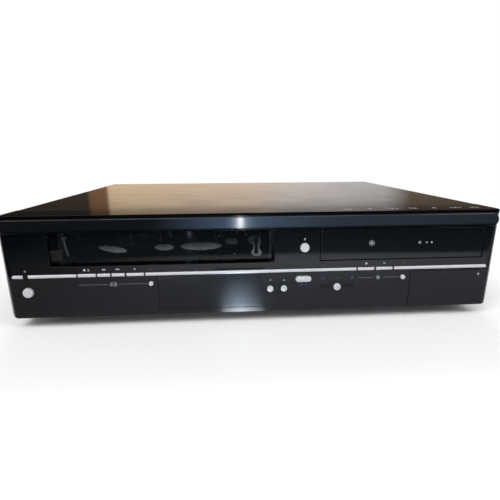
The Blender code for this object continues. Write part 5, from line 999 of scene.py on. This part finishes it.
def deck_bracket():
    """A cream guide on the deck's front edge, seen through the door's left end."""
    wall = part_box("loading_carriage")[0].x
    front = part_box("cassette_holder")[0].y
    left, right, low = wall - BRACKET_OUT, wall + BRACKET_IN, BASE + BRACKET_FOOT
    step, back = low + BRACKET_STEP, front - BRACKET_BACK
    shapes = [
        block((left, front - BRACKET_LOWER, low), (right, back, step)),
        block((left, front - BRACKET_UPPER, step), (right, back, low + BRACKET_TOP)),
    ]
    make("deck_bracket", shapes, FINISH_OF_SLOT["cream_moulding"], "cabinet")


def select_lamps():
    """A narrow lamp window at each end of the select button's slot."""
    x, z = middle_of("select_button")
    floor = FACE + LAMP_FLOOR
    shapes = []
    for side in (-1, 1):
        middle = x + side * LAMP_SPACING
        low = (middle - LAMP_REACH, floor - LAMP_SINK, z - LAMP_HALF)
        shapes.append(block(low, (middle + LAMP_REACH, floor + EDGE, z + LAMP_HALF)))
    make("select_lamps", shapes, LAMP, "cabinet")


# Screws and sockets, all places in metres
CROSS_HALF = 0.0004
CROSS_REACH = 0.0016
HEAD_RADIUS = 0.00305
HEAD_RISE = 0.0006
HEAD_SIDES = 64
HEAD_SECTION = ((1.0, 0), (1.0, 0.35), (0.9, 0.75), (0.7, 1.0))
CROSS_SECTION = ((1.0, 1.02), (0.9, 0.15))
SIDE_SCREWS = ((-0.1015, 0.0161), (0.1130, 0.0161))
PHONO_COLUMNS = (0.002, 0.018, 0.034, 0.050)
PHONO_ROWS = (0.0401, 0.0561)
PHONO_BARREL = 0.0042
PHONO_WALL = 0.0008
PHONO_BORE = 0.0017
SHELL_SLACK, SHELL_DEPTH, SHELL_PROUD = 0.0001, 0.0045, 0.00008
RING_BACK, RING_PROUD = 0.002, 0.00006
JACK_MOUTH = 0.0022
JACK_PLACES = ((0.1545, 0.0281), (0.1685, 0.0281), (0.1825, 0.0281))


def cross_radius(turn, half, reach):
    """How far a cross recess reaches at this angle."""
    c, s = max(abs(math.cos(turn)), 0.0001), max(abs(math.sin(turn)), 0.0001)
    return max(min(reach / c, half / s), min(reach / s, half / c))


def screw_head(axis):
    """A pan head with a cross recess, its underside at the origin."""
    turns = [math.tau * step / HEAD_SIDES for step in range(HEAD_SIDES)]
    loops = [
        [(HEAD_RADIUS * radius, HEAD_RISE * height)] * HEAD_SIDES
        for radius, height in HEAD_SECTION
    ]
    for share, height in CROSS_SECTION:
        half, reach = CROSS_HALF * share, CROSS_REACH * share
        loops.append([(cross_radius(turn, half, reach), HEAD_RISE * height) for turn in turns])
    shape = loft([
        [Vector((r * math.cos(turn), r * math.sin(turn), h)) for turn, (r, h) in zip(turns, loop)]
        for loop in loops
    ])
    bmesh.ops.transform(shape, verts=shape.verts, matrix=TURNS[axis])
    return shape


def screws():
    """Cross-recessed heads over the cover's side screws."""
    low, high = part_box("top_cover")
    plated = FINISH_OF_SLOT["plated_steel"]
    for name, axis, x in (("left_screws", "-X", low.x), ("right_screws", "X", high.x)):
        spots = [(x, y, z) for y, z in SIDE_SCREWS]
        repeated(name, [screw_head(axis)], spots, plated, "cabinet")


def socket_rings():
    """Nickel shells and coloured insulators on the phono sockets and the front jacks."""
    colours = {
        "yellow": moulded_colour("yellow_socket_abs", "#d8b02a"),
        "white": moulded_colour("white_socket_abs", "#dcdcd6"),
        "red": moulded_colour("red_socket_abs", "#b3202a"),
        "orange": moulded_colour("orange_socket_abs", "#c8641e"),
    }
    outer = PHONO_BARREL - PHONO_WALL
    profile = tube(outer, PHONO_BARREL + SHELL_SLACK, -SHELL_DEPTH, SHELL_PROUD)
    shell = turned(profile, (0, 0, 0), "Y")
    places = [(x, SOCKET_MOUTH, z) for x in PHONO_COLUMNS for z in PHONO_ROWS]
    repeated("phono_shells", [shell], places, NICKEL, "cabinet")
    for (colour, plastic), x in zip(colours.items(), PHONO_COLUMNS):
        spots = [(x, SOCKET_MOUTH, z) for z in PHONO_ROWS]
        ring_shape = turned(tube(PHONO_BORE, outer, -RING_BACK, RING_PROUD), (0, 0, 0), "Y")
        repeated(f"{colour}_phono_rings", [ring_shape], spots, plastic, "cabinet")
    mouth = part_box("front_jacks")[0].y + JACK_MOUTH
    for (x, z), colour in zip(JACK_PLACES, ("yellow", "white", "red")):
        ring_shape = turned(tube(PHONO_BORE, outer, -RING_PROUD, RING_BACK), (x, mouth, z), "Y")
        make(f"{colour}_jack_ring", [ring_shape], colours[colour], "cabinet")


# Studio: where the floor starts to fade to white and where it is white, the card in front's edge,
# and how much of the world's light falls on surfaces
FADE_START, FADE_END = 0.32, 0.75
NEAR_EDGE = FACE - 0.0015
WORLD_FILL = 0.45


def aim(obj, target):
    obj.rotation_euler = (Vector(target) - obj.location).to_track_quat("-Z", "Y").to_euler()


def lamp(name, place, target, size, power):
    """A soft white rectangular lamp."""
    data = bpy.data.lights.new(name, "AREA")
    data.shape = "RECTANGLE"
    data.size, data.size_y = size
    data.energy = power
    obj = bpy.data.objects.new(name, data)
    obj.location = place
    aim(obj, target)
    bpy.context.scene.collection.objects.link(obj)


def sheet(name, corners, material):
    """A flat piece of the studio."""
    mesh = bpy.data.meshes.new(name)
    mesh.from_pydata([Vector(c) for c in corners], [], [tuple(range(len(corners)))])
    mesh.materials.append(material)
    obj = bpy.data.objects.new(name, mesh)
    bpy.context.scene.collection.objects.link(obj)
    return obj


def ramp(tree, value, stops):
    """Colours along a value, as pairs of value and hex colour."""
    start, end = stops[0][0], stops[-1][0]
    node = add(tree, "ShaderNodeValToRGB", {"Fac": mapped(tree, value, start, end)})
    elements = node.color_ramp.elements
    elements[0].color, elements[1].color = linear(stops[0][1]), linear(stops[-1][1])
    for place, colour in stops[1:-1]:
        elements.new((place - start) / (end - start)).color = linear(colour)
    return node.outputs["Color"]


def card(name, corners, tones, levels, level_axis, strength=1.0):
    """A studio card that shows in glossy surfaces only: its tones run along X, its levels along
    the other axis."""
    made = bpy.data.materials.new(name)
    made.use_nodes = True
    tree = made.node_tree
    tree.nodes.clear()
    tone = ramp(tree, axis_of(tree, "X"), tones)
    level = ramp(tree, axis_of(tree, level_axis), levels)
    links = {0: 1.0, 6: tone, 7: level}
    mixed = add(tree, "ShaderNodeMix", links, data_type="RGBA", blend_type="MULTIPLY").outputs[2]
    glow = add(tree, "ShaderNodeEmission", {"Color": mixed, "Strength": strength})
    add(tree, "ShaderNodeOutputMaterial", {"Surface": glow.outputs[0]})
    obj = sheet(name, corners, made)
    obj.visible_camera = False
    obj.visible_diffuse = False
    obj.visible_transmission = False
    obj.visible_shadow = False


def seen_rays(tree):
    """1 for a ray that the camera sees directly, in gloss or through glass."""
    path = add(tree, "ShaderNodeLightPath").outputs
    links = {0: path["Is Camera Ray"], 1: path["Is Glossy Ray"]}
    seen = add(tree, "ShaderNodeMath", links, operation="MAXIMUM").outputs[0]
    links = {0: seen, 1: path["Is Transmission Ray"]}
    return add(tree, "ShaderNodeMath", links, operation="MAXIMUM").outputs[0]


def world_light():
    """A pale background, and a softer fill for the surfaces it lights."""
    world = bpy.data.worlds.new("studio")
    bpy.context.scene.world = world
    world.use_nodes = True
    tree = world.node_tree
    tree.nodes.clear()
    links = {0: seen_rays(tree), 2: WORLD_FILL, 3: 1.0}
    strength = add(tree, "ShaderNodeMix", links, data_type="FLOAT")
    links = {"Color": linear("#ffffff"), "Strength": strength.outputs[0]}
    light = add(tree, "ShaderNodeBackground", links)
    add(tree, "ShaderNodeOutputWorld", {"Surface": light.outputs[0]})


def floor_material():
    """Matt pale paint that keeps the shadow and runs out to plain white away from the object."""
    made = finish("pale_floor_paint", "#f6f6f6", 0.9)
    tree, shader = shader_of(made)
    away = add(tree, "ShaderNodeVectorMath", {0: place_of(tree)}, operation="LENGTH")
    faded = mapped(tree, away.outputs["Value"], FADE_START, FADE_END)
    links = {0: faded, 1: seen_rays(tree)}
    share = add(tree, "ShaderNodeMath", links, operation="MULTIPLY").outputs[0]
    white = add(tree, "ShaderNodeEmission", {"Color": linear("#ffffff"), "Strength": 1.0})
    links = {0: share, 1: shader.outputs[0], 2: white.outputs[0]}
    mixed = add(tree, "ShaderNodeMixShader", links).outputs[0]
    tree.links.new(mixed, tree.nodes["Material Output"].inputs["Surface"])
    return made


def cards():
    """What the gloss reflects: a pale table and a dark room in front, a window, a beige room."""
    card(
        "near_table",
        [(-0.9, -0.335, 0.001), (-0.13, -0.3855, 0.001), (0.06, -0.387, 0.001),
         (0.9, -0.355, 0.001), (0.9, NEAR_EDGE, 0.001), (-0.9, NEAR_EDGE, 0.001)],
        [(-0.6, "#3a3330"), (-0.25, "#6a6664"), (-0.1, "#d8dadf"), (0.1, "#f2f5fa"),
         (0.6, "#909296")],
        [(-0.39, "#ffffff"), (-0.32, "#f8f8f8"), (-0.29, "#94949a"), (-0.17, "#88888c")], "Y", 1.35,
    )
    card(
        "far_floor", [(-3, -4, 0.0005), (3, -4, 0.0005), (3, -0.33, 0.0005), (-3, -0.33, 0.0005)],
        [(-0.8, "#0c1012"), (-0.4, "#1a2124"), (-0.2, "#74808a"), (0.0, "#6a747e"),
         (0.8, "#3a444c")],
        [(-1.2, "#404040"), (-0.7, "#808080"), (-0.45, "#ffffff")], "Y",
    )
    card(
        "window_glow", [(-0.9, -1.2, 0.0), (1.3, -1.2, 0.0), (1.3, -1.2, 0.7), (-0.9, -1.2, 0.7)],
        [(-0.75, "#121212"), (-0.3, "#131415"), (-0.17, "#364050"), (-0.03, "#4c5e74"),
         (0.010, "#8a9fb5"), (0.015, "#ffffff"), (0.025, "#ffffff"), (0.030, "#8a9fb5"),
         (0.07, "#4c5e74"), (0.35, "#363f4a"), (1.0, "#292f37")],
        [(0.0, "#ffffff"), (0.7, "#ffffff")], "Z", 16.0,
    )
    card(
        "window_streak",
        [(0.010, -1.199, 0.0), (0.030, -1.199, 0.0), (0.030, -1.199, 0.7), (0.010, -1.199, 0.7)],
        [(0.010, "#8a9fb5"), (0.017, "#ffffff"), (0.023, "#ffffff"), (0.030, "#8a9fb5")],
        [(0.0, "#ffffff"), (0.7, "#ffffff")], "Z", 34.0,
    )
    card(
        "floor_glint",
        [(-0.045, -0.32, 0.002), (0.02, -0.32, 0.002), (0.005, -0.178, 0.002),
         (-0.032, -0.178, 0.002)],
        [(-0.04, "#000000"), (-0.016, "#ffffff"), (0.01, "#000000")],
        [(-0.31, "#000000"), (-0.26, "#404a55"), (-0.20, "#8090a0"), (-0.185, "#e8f2ff")],
        "Y", 26.0,
    )
    card(
        "beige_room", [(-2.5, 1.5, 0.0), (2.5, 1.5, 0.0), (2.5, 1.5, 0.62), (-2.5, 1.5, 0.62)],
        [(-1.2, "#3f342b"), (-0.765, "#463a30"), (-0.75, "#8b674b"), (-0.665, "#8b674b"),
         (-0.65, "#f7d8b0"), (0.1, "#fae1ca"), (0.27, "#f1e5da"), (0.5, "#e8e0dc"),
         (0.85, "#d0cdca"), (1.0, "#7a6a5a"), (1.6, "#6a5a4c")],
        [(0.0, "#ffffff"), (0.322, "#ffffff"), (0.340, "#bdbdbd"), (0.4, "#9a9a9a"),
         (0.62, "#8a8a8a")], "Z",
    )


def studio():
    """The pale floor, the lamps, the cards that the gloss reflects, and the camera."""
    sheet("floor", [(-8, -8, 0), (8, -8, 0), (8, 8, 0), (-8, 8, 0)], floor_material())
    lamp("key_lamp", (-0.9, -1.1, 1.5), (0, 0, 0.05), (1.2, 1.0), 22)
    lamp("fill_lamp", (1.2, -0.7, 1.2), (0, 0, 0.05), (1.2, 1.0), 12)
    lamp("back_lamp", (0.0, 1.4, 1.4), (0, 0, 0.05), (1.8, 0.8), 14)
    world_light()
    cards()
    data = bpy.data.cameras.new("camera")
    data.lens = LENS
    data.sensor_width = 36
    camera = bpy.data.objects.new("camera", data)
    turn = Matrix((CAMERA_RIGHT, CAMERA_UP, CAMERA_BACK)).transposed().to_4x4()
    camera.matrix_world = Matrix.Translation(CAMERA_PLACE) @ turn
    bpy.context.scene.collection.objects.link(camera)
    bpy.context.scene.camera = camera
    bpy.context.scene.view_settings.view_transform = "Standard"


dress_nodes()
front_prints()
strip_prints()
trim_bars()
bar_keys()
round_keys()
dubbing_key()
front_band()
door_marks()
deck_bracket()
select_lamps()
screws()
socket_rings()
studio()
